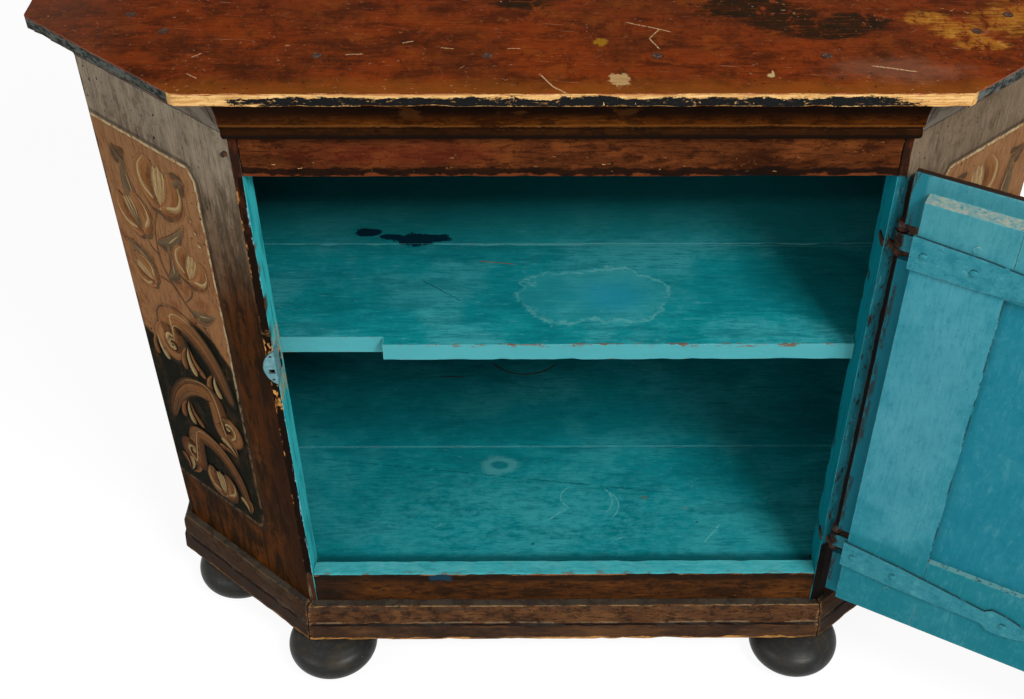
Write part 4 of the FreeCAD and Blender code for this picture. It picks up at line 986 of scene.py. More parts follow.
def foot_finish():
    """Feet: glossy black paint, rubbed round the turned rings."""
    f = Finish("foot_black", roughness=0.30, specular=0.17)
    rubbed = f.noise(46, 7, 0.72, shift=2.0)
    rings = f.noise(330, 6, 0.72, stretch=(8, 8, 1))
    colour = f.layers(
        (12.5, 12.5, 11.2),
        (rubbed, 0.5, 0.62, 0.6, (34, 24, 11)), (rubbed, 0.44, 0.34, 0.6, (28, 30, 36)),
        (rings, 0.54, 0.62, 0.45, (32, 31, 26)), (rings, 0.44, 0.36, 0.55, (8, 8, 8)),
        (f.noise(200, 3, 0.6, shift=9.0), 0.71, 0.75, 0.7, (240, 160, 85)),
    )
    return f.paint(colour, 0.24 + rubbed * 0.28, rings + rubbed, 0.0004, 0.35)


def iron_finish(name, painted):
    """Forged iron: rusty, or painted over with the door and worn."""
    f = Finish(name, roughness=0.55, specular=0.03)
    pits = f.noise(330, 6, 0.74)
    rust = f.layers(
        (34, 20, 15),
        (pits, 0.5, 0.58, 0.8, (105, 34, 15)), (pits, 0.42, 0.36, 0.8, (10, 8, 8)),
    )
    if painted:
        blots = f.noise(70, 7, 0.76, shift=2.0)
        edge_worn = f.edges(0.0020, 0.03, 0.2)
        bare = f.most(
            edge_worn * f.blots(0.545, 0.565, 170, 7, 0.78, shift=4.0),
            f.blots(0.675, 0.69, 90, 7, 0.78, shift=8.0),
        )
        from_pin = f.split(f.vector("SUBTRACT", f.place, HINGE))[:2]
        by_pin = f.step(f.reach(*from_pin) + f.ragged(110, 0.008, 5.0), 0.0085, 0.0065)
        facing_up = f.step(f.facing[2], 0.40, 0.70)
        colour = f.layers(
            (30, 190, 228),
            (blots, 0.5, 0.6, 0.5, TEAL_DEEP), (blots, 0.44, 0.36, 0.5, (75, 285, 320)),
            (pits, 0.54, 0.6, 0.4, TEAL_DEEP),
            (edge_worn * 0.45, (90, 290, 320)),
            (facing_up * f.step(blots, 0.64, 0.54) * 0.85, (8, 22, 26)),
            (bare, rust),
            (by_pin, f.mix(f.step(pits, 0.5, 0.58), (12, 10, 10), (58, 22, 12))),
        )
    else:
        flakes = f.blots(0.55, 0.6, 80, 7, 0.76, shift=5.0)
        colour = f.mix(flakes * 0.6, rust, (60, 105, 120))
    return f.paint(colour, None, pits, 0.0008, 0.6)


def keeper_finish():
    """The lock's keeper, painted over in pale grey-blue."""
    f = Finish("keeper_paint", roughness=0.5, specular=0.03)
    blots = f.noise(120, 7, 0.76, shift=2.0)
    pits = f.noise(330, 6, 0.74)
    colour = f.layers(
        (100, 225, 245),
        (blots, 0.5, 0.6, 0.5, (200, 360, 375)), (blots, 0.44, 0.36, 0.6, (45, 140, 160)),
        (f.edges(0.002, 0.03, 0.2) * 0.75, (18, 30, 34)),
        (pits, 0.6, 0.64, 0.7, (30, 40, 42)),
    )
    return f.paint(colour, None, pits, 0.0008, 0.6)


def nail_finish():
    """Nail heads in the top, dark and level with the varnish."""
    f = Finish("nail_dark", roughness=0.5, specular=0.04)
    pits = f.noise(260, 4, 0.7)
    colour = f.layers((52, 21, 11), (pits, 0.5, 0.6, (26, 15, 11)), (pits, 0.44, 0.38, 0.8, (125, 90, 72)))
    return f.paint(colour, None, pits, 0.0006, 0.5)


def batten_finish():
    """Cornice battens on the canted corners: bare grey wood with a crack, and painted shade along the lower edge.
    """
    f = Finish("batten_grey", roughness=0.6, specular=0.03)
    grain = f.noise(230, 5, 0.68, stretch=(6, 6, 1))
    stain = f.noise(30, 5, 0.65, shift=4.0)
    along = cant_along(f)
    crack = f.step(abs(along + f.ragged(60, 0.006, 3.0) - 0.01), 0.0016, 0.0008) * f.step(f.z, 0.83, 0.84)
    colour = f.layers(
        (142, 118, 88),
        (grain, 0.5, 0.6, 0.6, (70, 58, 44)),
        (stain, 0.52, 0.6, 0.6, (60, 30, 18)), (stain, 0.44, 0.36, 0.5, (250, 225, 185)),
        (crack, (10, 8, 7)),
        # Painted shade along the lower edge.
        (f.z, CORNICE_LOW.z + 0.0035, CORNICE_LOW.z + 0.0015, (35, 28, 22)),
    )
    return f.paint(colour, None, grain, 0.0006, 0.5)


def pine_finish():
    """Bare softwood, for what is never painted."""
    f = Finish("bare_pine", roughness=0.7, specular=0.03)
    colour, grain = raw_pine(f)
    return f.paint(colour, None, grain, 0.0006, 0.5)


def side_finish():
    """Sides: grey-brown paint outside, turquoise inside, a bare rear edge."""
    f, colour, height, patches = brown_paint(
        "side_brown", (110, 62, 36), (55, 30, 18), (140, 90, 58), along=(1, 1, 12))
    fade = f.step(f.z + f.ragged(12, 0.34, 0.0, tall=3), 0.78, 0.45)
    pine = raw_pine(f)[0]
    colour = f.layers(
        colour,
        (fade * 0.7, f.mix(f.step(patches, 0.4, 0.6), (62, 24, 10), (26, 14, 8))),
        (f.across, SIDE_HIGH.x - 0.0195, SIDE_HIGH.x - 0.021, TURQUOISE_DEEP),
        (f.y, SIDE_HIGH.y - 0.003, SIDE_HIGH.y - 0.001, pine),
    )
    return f.paint(colour, None, height, 0.0006, 0.4)


def back_finish():
    """Back boards: dark turquoise inside, near black towards the top as painted shade under the top, bare outside.
    """
    f = Finish("back_boards", roughness=0.6, specular=0.03)
    pine, grain = raw_pine(f)
    brush = f.noise(170, 5, 0.62, wide=9, shift=1.0)
    # Inside: near black towards the top, painted shade under the top board.
    inside = f.layers((2, 150, 170), (brush, 0.38, 0.7, (1, 85, 105)), (f.z, 0.54, 0.6, 0.6, (0.4, 40, 50)))
    colour = f.mix(f.step(f.y, BACK_LOW.y + 0.002, BACK_LOW.y + 0.004), inside, pine)
    return f.paint(colour, None, grain, 0.0006, 0.4)


floor_colours = ((4, 195, 215), (1, 110, 130), (40, 300, 320))
finishes = {
    "top_board": varnished_top(),
    "top_nails": nail_finish(),
    "top_nailing": pine_finish(),
    "cornice_front": cornice_finish(),
    "cornice_batten": batten_finish(),
    "frieze": frieze_finish(),
    "canted": canted_finish(),
    "side_board": side_finish(),
    "back_board": back_finish(),
    "bottom_rail": rail_finish(),
    "shelf_board": turquoise_finish("shelf_turquoise", (9, 1, 1), shelf_marks_and_shading),
    "floor_board": turquoise_finish("floor_turquoise", (9, 1, 1), floor_marks_and_shading, *floor_colours),
    "base": base_finish(),
    "foot": foot_finish(),
    "door": door_finish(),
    "strap": iron_finish("painted_iron", True),
    "lock": iron_finish("rusty_iron", False),
    "lock_keeper": keeper_finish(),
}
finishes["shelf_cleat"] = finishes["back_board"]
finishes["floor_bearers"] = finishes["base_back"] = finishes["top_nailing"]


def finish_for(name):
    """The material whose key is the longest start of a node's name; bare iron if there is none."""
    fitting = [key for key in finishes if name.startswith(key)]
    return finishes[max(fitting, key=len)] if fitting else finishes["lock"]


for name, part in nodes.items():
    part.data.materials.clear()
    part.data.materials.append(finish_for(name))


# ------------------------------------------------------------------ worn copies of the boards
LONG_ARRIS = 0.030                      # shorter arrises stay sharp
SHARP_ARRIS = math.radians(28)          # flatter ones too
SIZE_LEEWAY = 1e-4                      # how far rounding may move a board's outline
VOLUME_LEEWAY = 0.04                    # and its share of the volume
bodies = frame["record"]["behaviour"]["bodies"]
body_of_node = {name: body for body, names in bodies.items() for name in names}


def unevenness(place):
    """From about -1 to 1, how a hand-planed face departs from its plane."""
    return noise.noise(place * 7.0) + 0.45 * noise.noise(place * 26.0)


def slice_up(mesh, axis, distance):
    """Cuts a mesh across an axis, about every distance."""
    low = min(vertex.co[axis] for vertex in mesh.verts)
    high = max(vertex.co[axis] for vertex in mesh.verts)
    count = int((high - low) / distance)
    direction = [0.0, 0.0, 0.0]
    direction[axis] = 1.0
    for number in range(1, count):
        point = [0.0, 0.0, 0.0]
        point[axis] = low + (high - low) * number / count
        geometry = mesh.verts[:] + mesh.edges[:] + mesh.faces[:]
        bmesh.ops.bisect_plane(mesh, geom=geometry, plane_co=point, plane_no=direction, dist=1e-6)


def worn_arrises(name, arris, turn):
    """A node's mesh with its long arrises rounded, turned back about Z; less so where that would spoil it."""
    for rounding in (arris, 0.5 * arris, 0.0):
        mesh = bmesh.new()
        mesh.from_mesh(nodes[name].data)
        bmesh.ops.remove_doubles(mesh, verts=mesh.verts, dist=1e-5)
        bmesh.ops.dissolve_limit(mesh, angle_limit=math.radians(0.5), verts=mesh.verts, edges=mesh.edges)
        bmesh.ops.rotate(mesh, matrix=Matrix.Rotation(-turn, 3, "Z"), verts=mesh.verts)
        volume = mesh.calc_volume()
        before = sizes(mesh)
        if rounding:
            sharp = [
                edge for edge in mesh.edges
                if len(edge.link_faces) == 2 and edge.calc_length() > LONG_ARRIS
                and edge.calc_face_angle(0.0) > SHARP_ARRIS
            ]
            bmesh.ops.bevel(
                mesh, geom=sharp, offset=rounding, offset_type="OFFSET", segments=2, profile=0.5,
                affect="EDGES", clamp_overlap=True, loop_slide=False)
        grown = max(abs(now - then) for now, then in zip(sizes(mesh), before))
        if grown < SIZE_LEEWAY and abs(mesh.calc_volume() / volume - 1.0) < VOLUME_LEEWAY:
            return mesh
        mesh.free()
    return None


def sizes(mesh):
    """The mesh's least and greatest value along each axis."""
    return [end(vertex.co[axis] for vertex in mesh.verts) for axis in range(3) for end in (min, max)]


def settled_faces(mesh):
    """The faces as corner numbers, in an order that stays the same from run to run."""
    mesh.verts.index_update()
    faces = []
    for face in mesh.faces:
        corners = [vertex.index for vertex in face.verts]
        first = corners.index(min(corners))
        faces.append(corners[first:] + corners[:first])
    return sorted(faces)


def stand_in(mesh, name, ending):
    """Replaces a node by a new piece with the shape of mesh."""
    data = bpy.data.meshes.new(name + ending)
    data.from_pydata([vertex.co for vertex in mesh.verts], [], settled_faces(mesh))
    mesh.free()
    data.materials.append(finish_for(name))
    data.shade_smooth()
    piece = bpy.data.objects.new(name + ending, data)
    bpy.context.scene.collection.objects.link(piece)
    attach(piece, body_of_node[name])
    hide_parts(name)
    return piece


def aged(name, distances, arris=0.0012, uneven=0.00030, nibble=0.0006, turn=0.0):
    """Replaces a node by a copy whose arrises are worn round and nibbled and whose faces are hand-planed.

    distances are the spaces between the cuts along the three axes, turned about Z by turn.
    """
    mesh = worn_arrises(name, arris, turn)
    for axis, distance in enumerate(distances):
        if distance:
            slice_up(mesh, axis, distance)
    bmesh.ops.rotate(mesh, matrix=Matrix.Rotation(turn, 3, "Z"), verts=mesh.verts)
    mesh.normal_update()
    moves = []
    for vertex in mesh.verts:
        normals = [face.normal for face in vertex.link_faces if face.calc_area() > 1e-9]
        bend = min((normal.dot(normals[0]) for normal in normals), default=1.0)
        depth = uneven * (unevenness(vertex.co) - 0.6)
        on_arris = bend < 0.93
        if on_arris:
            depth -= nibble * max(0.0, noise.noise(vertex.co * 55.0) + 0.1) * 2.0
        moves.append(vertex.normal * depth)
    for vertex, move in zip(mesh.verts, moves):
        vertex.co += move
    piece = stand_in(mesh, name, "_worn")
    piece.data.set_sharp_from_angle(angle=math.radians(40))
    weighted = piece.modifiers.new("even_shading", "WEIGHTED_NORMAL")
    weighted.keep_sharp = True


CANT_ANGLE = math.atan2(CANT.y, CANT.x)
aged("top_board_front", (0.010, 0.016, 0), arris=0.0016, uneven=0.00035, nibble=0.0009)
aged("cornice_front", (0.012, 0, 0), arris=0.0006, uneven=0.00025, nibble=0.0003)
aged("frieze_board", (0.014, 0, 0.012), arris=0.0010)
aged("bottom_rail", (0.010, 0.014, 0), arris=0.0014, nibble=0.0009)
aged("base_front", (0.009, 0, 0), arris=0.0009, uneven=0.0004, nibble=0.0012)
aged("shelf_board_front", (0.011, 0.016, 0), arris=0.0018, nibble=0.0010)
for name in ("shelf_board_rear", "floor_board_front", "floor_board_rear"):
    aged(name, (0.016, 0.016, 0), arris=0.0008)
for name in ("door_hinge_stile", "door_lock_stile", "door_top_rail", "door_bottom_rail"):
    aged(name, (0.012, 0, 0.012), arris=0.0004, uneven=0.0, nibble=0.0002, turn=OPEN_ANGLE)
for side, angle in (("right", CANT_ANGLE), ("left", -CANT_ANGLE)):
    aged("canted_board_" + side, (0, 0, 0.010), arris=0.0016, uneven=0.0, nibble=0.0009, turn=angle)
    aged("base_canted_" + side, (0.009, 0, 0), arris=0.0009, uneven=0.0004, nibble=0.0011, turn=angle)
    aged("base_side_" + side, (0, 0.012, 0), arris=0.0009, uneven=0.0004, nibble=0.0011)
    aged("cornice_batten_canted_" + side, (0.010, 0, 0), uneven=0.0004, nibble=0.0009, turn=angle)


def islands(mesh):
    """Groups of a mesh's corners that belong together, sorted by their places."""
    work = bmesh.new()
    work.from_mesh(mesh)
    bmesh.ops.remove_doubles(work, verts=work.verts, dist=1e-5)
    left = set(work.verts)
    groups = []
    while left:
        waiting = [left.pop()]
        group = []
        while waiting:
            vertex = waiting.pop()
            group.append(vertex.co.copy())
            for edge in vertex.link_edges:
                other = edge.other_vert(vertex)
                if other in left:
                    left.remove(other)
                    waiting.append(other)
        groups.append(sorted(group, key=tuple))
    work.free()
    return sorted(groups, key=lambda group: tuple(group[0]))


def hammered_heads(name, out, radius, height, seed):
    """Replaces a node of nails by small hammered domes on the same places."""
    chance = random.Random(seed)
    made = bmesh.new()
    facing = Vector((0.0, 0.0, 1.0)).rotation_difference(out).to_matrix().to_4x4()
    for group in islands(nodes[name].data):
        face = max(point.dot(out) for point in group)
        on_face = [point for point in group if face - point.dot(out) < 0.0025]
        centre = sum(on_face, Vector()) / len(on_face)
        centre += out * (face - centre.dot(out) - height)
        dome = bmesh.ops.create_uvsphere(made, u_segments=18, v_segments=10, radius=radius)["verts"]
        lean = Vector((chance.uniform(-1, 1), chance.uniform(-1, 1), 0.0)) * 0.06
        size = chance.uniform(0.88, 1.12)
        for vertex in dome:
            place = vertex.co * size
            dent = 1.0 + 0.10 * noise.noise(vertex.co * 900.0 + centre * 40.0)
            raised = max(place.z, -0.2 * radius) * height / radius
            place = Vector((place.x * dent, place.y * dent, raised * dent))
            place.z += lean.x * place.x + lean.y * place.y
            vertex.co = facing @ place + centre
    stand_in(made, name, "_hammered")


hammered_heads("strap_nails", out=-DOOR_FRONT, radius=0.0048, height=0.0024, seed=3)


# ------------------------------------------------------------------ brushwork
def smooth_line(points, count):
    """Points along a smooth line through the given ones."""
    places = [Vector(point) for point in points]
    padded = [places[0] * 2 - places[1], *places, places[-1] * 2 - places[-2]]
    runs = len(places) - 1
    found = []
    for number in range(count + 1):
        at = runs * number / count
        run = min(int(at), runs - 1)
        t = at - run
        before, start, end, after = padded[run:run + 4]
        found.append(0.5 * (
            2 * start + (end - before) * t
            + (2 * before - 5 * start + 4 * end - after) * t ** 2
            + (3 * start - before - 3 * end + after) * t ** 3))
    return found


def comma(t):
    """Width of a comma stroke: a full round head and a long thin tail."""
    if t < 0.22:
        return math.sqrt(max(0.0, 1.0 - (1.0 - t / 0.22) ** 2))
    return (1.0 - (t - 0.22) / 0.78) ** 0.9


def leaf(t):
    """Width of a leaf: pointed at both ends, widest before its middle."""
    return math.sin(math.pi * min(1.0, max(0.0, t)) ** 0.85)


def band(t):
    """Width of a broad band with blunt ends."""
    return math.sin(math.pi * t) ** 0.35


def thinning(t):
    """Width of a stem, thinner towards its end."""
    return math.sin(math.pi * t) ** 0.5 * (1.0 - 0.5 * t)


def blob(t):
    """Width of a round dot."""
    return math.sin(math.pi * t) ** 0.5


class Painter:
    """Collects brush strokes, given in millimetres on a flat face, and makes one piece of them."""

    def __init__(self, origin, across, normal, scale=1.0):
        self.origin = origin
        self.across = across
        self.normal = normal
        self.millimetre = 0.001 * scale
        self.places = []
        self.faces = []
        self.colours = []
        self.uvs = []
        self.count = 0

    def place(self, point, lift):
        up = Vector((0.0, 0.0, point.y))
        return self.origin + (self.across * point.x + up) * self.millimetre + self.normal * lift

    def stroke(self, colour, width, points, shape=comma):
        """One brush stroke along a smooth line, a little above those before it."""
        lift = 0.00012 + 0.000006 * self.count
        self.count += 1
        line = smooth_line(points, 8 * (len(points) - 1) + 4)
        start = len(self.places)
        last = len(line) - 1
        for number, point in enumerate(line):
            way = (line[min(number + 1, last)] - line[max(number - 1, 0)]).normalized()
            side = Vector((-way.y, way.x)) * width * 0.5 * shape(number / last)
            for share in (-1.0, 0.0, 1.0):
                self.places.append(self.place(point + side * share, lift))
                self.uvs.append((number / last, share * 0.5 + 0.5))
        for number in range(last):
            for strip in range(2):
                corner = start + 3 * number + strip
                self.faces.append((corner, corner + 1, corner + 4, corner + 3))
                self.colours.append(colour)

    def spiral(self, colour, width, centre, radius, angle, turns, tail, shape=comma):
        """A scroll that leaves its volute and runs out through the points of tail."""
        points = []
        steps = max(4, int(abs(turns) * 8))
        for number in range(steps):
            share = number / steps
            turned = math.radians(angle) + math.tau * turns * share
            reach = radius * (0.30 + 0.70 * share)
            points.append((centre[0] + reach * math.cos(turned), centre[1] + reach * math.sin(turned)))
        self.stroke(colour, width, points + list(tail), shape)

    def dot(self, colour, radius, centre):
        x, y = centre
        self.stroke(colour, 2 * radius, [(x - radius, y), (x, y + radius * 0.1), (x + radius, y)], blob)

    def finish(self, name, body, materials, slot):
        """Makes the piece, with its faces turned to the front."""
        data = bpy.data.meshes.new(name)
        data.from_pydata(self.places, [], self.faces)
        layer = data.uv_layers.new(name="brush")
        for polygon, colour in zip(data.polygons, self.colours):
            polygon.material_index = colour
            for loop in polygon.loop_indices:
                layer.data[loop].uv = self.uvs[data.loops[loop].vertex_index]
        for material in materials:
            data.materials.append(material)
        faces = bmesh.new()
        faces.from_mesh(data)
        flipped = [face for face in faces.faces if face.normal.dot(self.normal) < 0]
        bmesh.ops.reverse_faces(faces, faces=flipped)
        faces.to_mesh(data)
        faces.free()
        piece = bpy.data.objects.new(name, data)
        bpy.context.scene.collection.objects.link(piece)
        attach(piece, body)


PALE, ORANGE, DARK, OLIVE = range(4)


def brush_finish(name, colour, shade, glow, ground, coat):
    """Thin brushed paint: graded over the stroke's width, soft at its edges and worn off in places."""
    f = Finish(name, roughness=0.5, specular=0.01)
    along, over, _ = f.split(f.coordinates.outputs["UV"])
    bristle = f.node("ShaderNodeCombineXYZ")
    f.feed(bristle.inputs[0], along * 3.0)
    f.feed(bristle.inputs[1], over * 22.0)
    hairs = f.noise(0.6, 3, 0.6, place=bristle.outputs[0])
    uneven = (hairs - 0.5) * 0.5
    thin = f.step(along + hairs * 0.9, 1.05, 1.55)
    worn = f.blots(0.53, 0.62, 150, 8, 0.8, shift=61.0)
    rim = f.step(f.least(over, 1.0 - over) + uneven * 0.6, 0.09, 0.02)
    under, grain = ground(f)
    paint = f.layers(
        colour,
        (over + uneven, 0.52, 0.84, 0.8, shade),
        (f.between(over + uneven, 0.14, 0.34, 0.07) * 0.55, glow),
        (hairs, 0.52, 0.58, 0.35, shade), (hairs, 0.45, 0.39, 0.25, glow),
        (grain, 0.5, 0.72, 0.4, shade),
        (f.z, 0.5, 0.3, 0.3, shade),
    )
    gone = f.most(thin * 0.75, worn * 0.8, rim * 0.9, 1.0 - coat)
    return f.paint(f.mix(gone, paint, under), None, grain, 0.0004, 0.3)


def brushes(kind, ground):
    """The four paints, in the order of their numbers."""
    return [
        brush_finish(kind + "_cream", (320, 225, 100), (170, 85, 28), (500, 400, 210), ground, 0.85),
        brush_finish(kind + "_orange", (185, 68, 19), (55, 20, 6), (330, 165, 65), ground, 0.85),
        brush_finish(kind + "_dark", (12, 12, 8), (28, 22, 13), (30, 28, 20), ground, 0.7),
        brush_finish(kind + "_leaf", (62, 56, 32), (18, 16, 9), (115, 95, 55), ground, 0.8)]


def tulip(brush, x, y, size, lean, heart=PALE):
    """A tulip in three petals with light strokes on them."""
    cosine, sine = math.cos(math.radians(lean)), math.sin(math.radians(lean))

    def at(u, v):
        return (x + size * (u * cosine + v * sine), y + size * (v * cosine - u * sine))

    brush.stroke(DARK, size * 0.62, [at(-0.10, -0.12), at(0.05, 0.16), at(0.0, 0.62)], leaf)
    brush.stroke(heart, size * 0.58, [at(0.0, -0.02), at(0.0, 0.5), at(0.0, 1.02)], leaf)
    for side in (-1, 1):
        outer = [at(0.04 * side, -0.04), at(0.32 * side, 0.22), at(0.40 * side, 0.62), at(0.26 * side, 1.04)]
        light = [at(0.16 * side, 0.14), at(0.46 * side, 0.34), at(0.53 * side, 0.68), at(0.36 * side, 1.02)]
        brush.stroke(ORANGE, size * 0.50, outer, band)
        brush.stroke(PALE, size * 0.13, light)
    for u in (-0.09, 0.02, 0.12):
        brush.stroke(PALE, size * 0.09, [at(u, 0.94), at(u * 1.2, 0.62), at(u * 0.5, 0.34)])
    for side in (-1, 1):
        brush.stroke(DARK, size * 0.12, [at(0.0, -0.08), at(0.22 * side, -0.10), at(0.42 * side, 0.08)])


def sprig(brush, start, middle, end, size, side):
    """A leaf with its dark under side and a light vein."""
    shaded = (middle[0] + 2.0 * side, middle[1] - 2.0)
    vein = [
        tuple(a * 0.3 + b * 0.7 for a, b in zip(start, middle)),
        tuple(a * 0.5 + b * 0.5 for a, b in zip(middle, end))]
    brush.stroke(DARK, size * 1.1, [start, shaded, end], leaf)
    brush.stroke(OLIVE, size * 0.8, [start, middle, end], leaf)
    brush.stroke(PALE, size * 0.11, vein, thinning)


def fan(brush, x, y, reach, width, angles, colours=(ORANGE, PALE, ORANGE)):
    """Comma strokes that spread from one point."""
    for number, angle in enumerate(angles):
        points = []
        for share, bend in ((1.0, 0.0), (0.55, 0.16), (0.12, 0.0)):
            way = math.radians(angle) + bend
            points.append((x + reach * share * math.cos(way), y + reach * share * math.sin(way)))
        brush.stroke(colours[number % len(colours)], width, points)


def beads(brush, colour, start, end, count, first, last):
    """A row of dots whose radius goes from first to last."""
    for number in range(count):
        share = number / (count - 1)
        place = (start[0] + (end[0] - start[0]) * share, start[1] + (end[1] - start[1]) * share)
        brush.dot(colour, first + (last - first) * share, place)


def flower_branch(brush):
    """Upper half: three tulips and a bud on one stem, with leaves."""
    for width, points in (
            (4.5, [(22, 306), (60, 338), (90, 380), (90, 430), (72, 476)]),
            (3.6, [(90, 392), (106, 404), (112, 424)]),
            (3.2, [(62, 342), (46, 362), (44, 384)]),
            (3.0, [(76, 360), (102, 360), (124, 350)])):
        brush.stroke(DARK, width, points, thinning)
    for leaf_line in (
            ((92, 412), (60, 426), (34, 462), 24, 1), ((96, 436), (124, 470), (122, 522), 22, -1),
            ((84, 366), (66, 384), (72, 420), 20, 1), ((56, 334), (34, 334), (8, 350), 19, 1),
            ((104, 362), (124, 382), (154, 392), 20, -1)):
        sprig(brush, *leaf_line)
    tulip(brush, 70, 468, 62, -12)
    tulip(brush, 112, 416, 50, 24, OLIVE)
    tulip(brush, 46, 382, 46, -22)
    tulip(brush, 112, 346, 36, 60)
    for x, y, turn in ((142, 524, 215), (14, 528, 325)):
        fan(brush, x, y, 26, 9, (turn - 28, turn, turn + 28), (DARK, OLIVE))
    beads(brush, PALE, (12, 448), (18, 478), 3, 3.2, 1.8)


def scroll_band(brush):
    """Middle: a broad scroll over the border between the two grounds."""
    brush.spiral(DARK, 50, (108, 250), 18, 200, 0.9, [(106, 292), (70, 296), (34, 264), (8, 206)], band)
    brush.spiral(ORANGE, 42, (108, 252), 17, 200, 0.9, [(104, 292), (70, 296), (36, 266), (12, 210)], band)
    brush.spiral(PALE, 8, (106, 256), 18, 240, 0.75, [(100, 304), (68, 308), (36, 284)], comma)
    brush.spiral(PALE, 4, (106, 254), 11, 240, 0.75, [(98, 288), (72, 288), (44, 266)], comma)
    brush.dot(PALE, 4.5, (109, 252))
    brush.dot(DARK, 2.0, (109, 252))
    fan(brush, 80, 272, 50, 12, (240, 262, 284))
    fan(brush, 138, 262, 44, 11, (250, 278), (PALE, ORANGE))
    fan(brush, 38, 250, 40, 11, (262, 290), (PALE, ORANGE))


def dark_half(brush):
    """Lower half: scrolls, a tulip and comma strokes on the dark ground."""
    brush.spiral(ORANGE, 34, (32, 160), 17, 20, 0.95, [(50, 200), (90, 196), (124, 162), (146, 112)], band)
    brush.spiral(PALE, 6, (32, 160), 18, 40, 0.85, [(52, 210), (92, 206), (124, 178)], comma)
    brush.dot(PALE, 4.0, (32, 160))
    fan(brush, 104, 170, 46, 11, (242, 266, 290))
    brush.spiral(ORANGE, 32, (118, 66), 16, 160, -0.9, [(102, 104), (64, 104), (34, 72), (20, 22)], band)
    brush.spiral(PALE, 6, (118, 66), 17, 140, -0.8, [(100, 112), (64, 112), (36, 88)], comma)
    brush.dot(PALE, 4.0, (118, 66))
    tulip(brush, 68, 14, 46, 4)
    fan(brush, 20, 112, 38, 10, (62, 36, 10))
    fan(brush, 134, 16, 34, 10, (70, 100, 130))
    fan(brush, 20, 12, 30, 9, (60, 92), (PALE, ORANGE))


def whole_design(brush):
    """All strokes of one painted field."""
    flower_branch(brush)
    scroll_band(brush)
    dark_half(brush)


FRAME_LINE = 0.004                      # width of the cream line round a painted field
cant_brushes = brushes("cant", lambda f: painted_ground(f, cant_along(f), f.z))
for side, sign in (("right", 1.0), ("left", -1.0)):
    along = Vector((CANT_ALONG.x * sign, CANT_ALONG.y, 0.0))
    out = Vector((CANT_OUT.x * sign, CANT_OUT.y, 0.0))
    corner = Vector((FRONT_HALF * sign, 0.0, FIELD_BOTTOM)) + CASE
    brush = Painter(corner + along * (FIELD_FRONT + FRAME_LINE), along, out)
    whole_design(brush)
    brush.finish("brushwork_" + side, "case", cant_brushes, "canted_painted")


def door_ground(f):
    """The painted field of the door's front, under its brushwork."""
    closed_x, _, closed_z = f.split(f.turned(f.place, HINGE, -OPEN_ANGLE))
    return painted_ground(f, closed_x * DOOR_DESIGN_SCALE, closed_z)


# The door's front has four copies of the design on its raised field, two of them mirrored.
DOOR_COPY_SCALE = 0.52
DOOR_COPIES = (("a", 0.0040, 1.0), ("b", -0.0010, -1.0), ("c", 0.1710, -1.0), ("d", -0.1680, 1.0))
turn = Matrix.Rotation(OPEN_ANGLE, 3, "Z")
door_across = turn @ Vector((1.0, 0.0, 0.0))
door_brushes = brushes("door", door_ground)
for name, place, sign in DOOR_COPIES:
    corner = Vector((place, DOOR_FIELD_FACE, DOOR_FIELD_LOW.y + 0.014))
    start = turn @ (corner - HINGE) + HINGE + CASE
    brush = Painter(start, door_across * sign, DOOR_FRONT, DOOR_COPY_SCALE)
    whole_design(brush)
    brush.finish("brushwork_door_" + name, "door", door_brushes, "door_panel_painted")


# ------------------------------------------------------------------ floor, world and lights
def floor_finish():
    """Pale floor: white to the camera apart from the object's soft shadow."""
    material = bpy.data.materials.new("floor_pale")
    material.use_nodes = True
    tree = material.node_tree
    shader = tree.nodes["Principled BSDF"]
    shader.inputs["Base Color"].default_value = (0.80, 0.80, 0.80, 1.0)
    shader.inputs["Roughness"].default_value = 0.9
    shader.inputs["Specular IOR Level"].default_value = 0.0
    white = tree.nodes.new("ShaderNodeEmission")
    white.inputs["Strength"].default_value = 1.03
    share = tree.nodes.new("ShaderNodeMath")
    share.operation = "MULTIPLY"
    share.inputs[1].default_value = 0.90
    tree.links.new(seen_directly(tree), share.inputs[0])
    mixed = tree.nodes.new("ShaderNodeMixShader")
    tree.links.new(share.outputs[0], mixed.inputs[0])
    tree.links.new(shader.outputs[0], mixed.inputs[1])
    tree.links.new(white.outputs[0], mixed.inputs[2])
    tree.links.new(mixed.outputs[0], tree.nodes["Material Output"].inputs["Surface"])
    return material


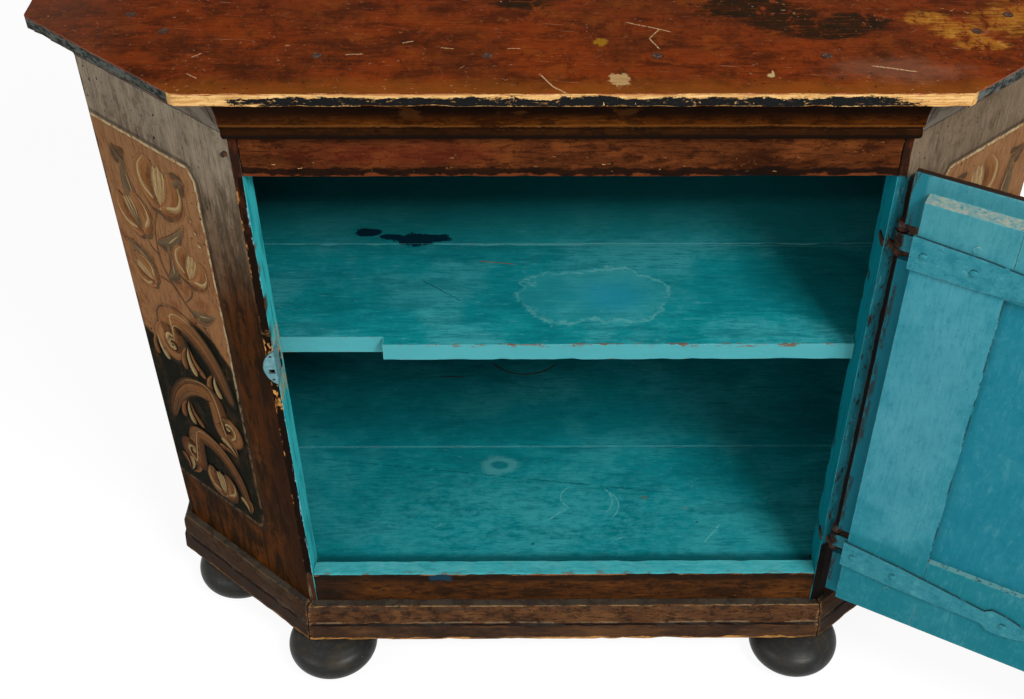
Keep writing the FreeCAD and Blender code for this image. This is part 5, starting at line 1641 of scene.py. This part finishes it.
def seen_directly(tree):
    """1 for what the camera, a reflection or glass shows; 0 for what lights the object."""
    path = tree.nodes.new("ShaderNodeLightPath")
    total = path.outputs["Is Camera Ray"]
    for name in ("Is Glossy Ray", "Is Transmission Ray"):
        most = tree.nodes.new("ShaderNodeMath")
        most.operation = "MAXIMUM"
        tree.links.new(total, most.inputs[0])
        tree.links.new(path.outputs[name], most.inputs[1])
        total = most.outputs[0]
    return total


floor_mesh = bpy.data.meshes.new("floor")
FLOOR_HALF = 6.0
floor_corners = [(FLOOR_HALF * x, FLOOR_HALF * y, 0) for x, y in ((-1, -1), (1, -1), (1, 1), (-1, 1))]
floor_mesh.from_pydata(floor_corners, [], [(0, 1, 2, 3)])
floor = bpy.data.objects.new("floor", floor_mesh)
bpy.context.scene.collection.objects.link(floor)
floor.data.materials.append(floor_finish())

world = bpy.data.worlds.new("studio")
bpy.context.scene.world = world
world.use_nodes = True
tree = world.node_tree
background = tree.nodes["Background"]
background.inputs["Color"].default_value = (1.0, 1.0, 1.0, 1.0)
strength = tree.nodes.new("ShaderNodeMapRange")
strength.inputs["To Min"].default_value = 0.32
tree.links.new(seen_directly(tree), strength.inputs["Value"])
tree.links.new(strength.outputs[0], background.inputs["Strength"])


def area_light(name, place, target, size, power):
    """Round lamp at a place in case coordinates, turned to its target."""
    lamp = bpy.data.lights.new(name, "AREA")
    lamp.shape = "DISK"
    lamp.size = size
    lamp.energy = power
    holder = bpy.data.objects.new(name, lamp)
    holder.location = Vector(place) + CASE
    direction = Vector(target) - Vector(place)
    holder.rotation_euler = direction.to_track_quat("-Z", "Y").to_euler()
    bpy.context.scene.collection.objects.link(holder)


area_light("key_light", (1.25, -1.75, 2.75), (0.0, 0.1, 0.5), 0.9, 92.0)
area_light("left_light", (-2.2, -1.6, 2.0), (-0.2, 0.1, 0.5), 1.8, 24.0)
area_light("front_light", (0.2, -2.8, 1.4), (0.0, 0.2, 0.45), 1.6, 14.0)

bpy.context.scene.view_settings.view_transform = "Standard"
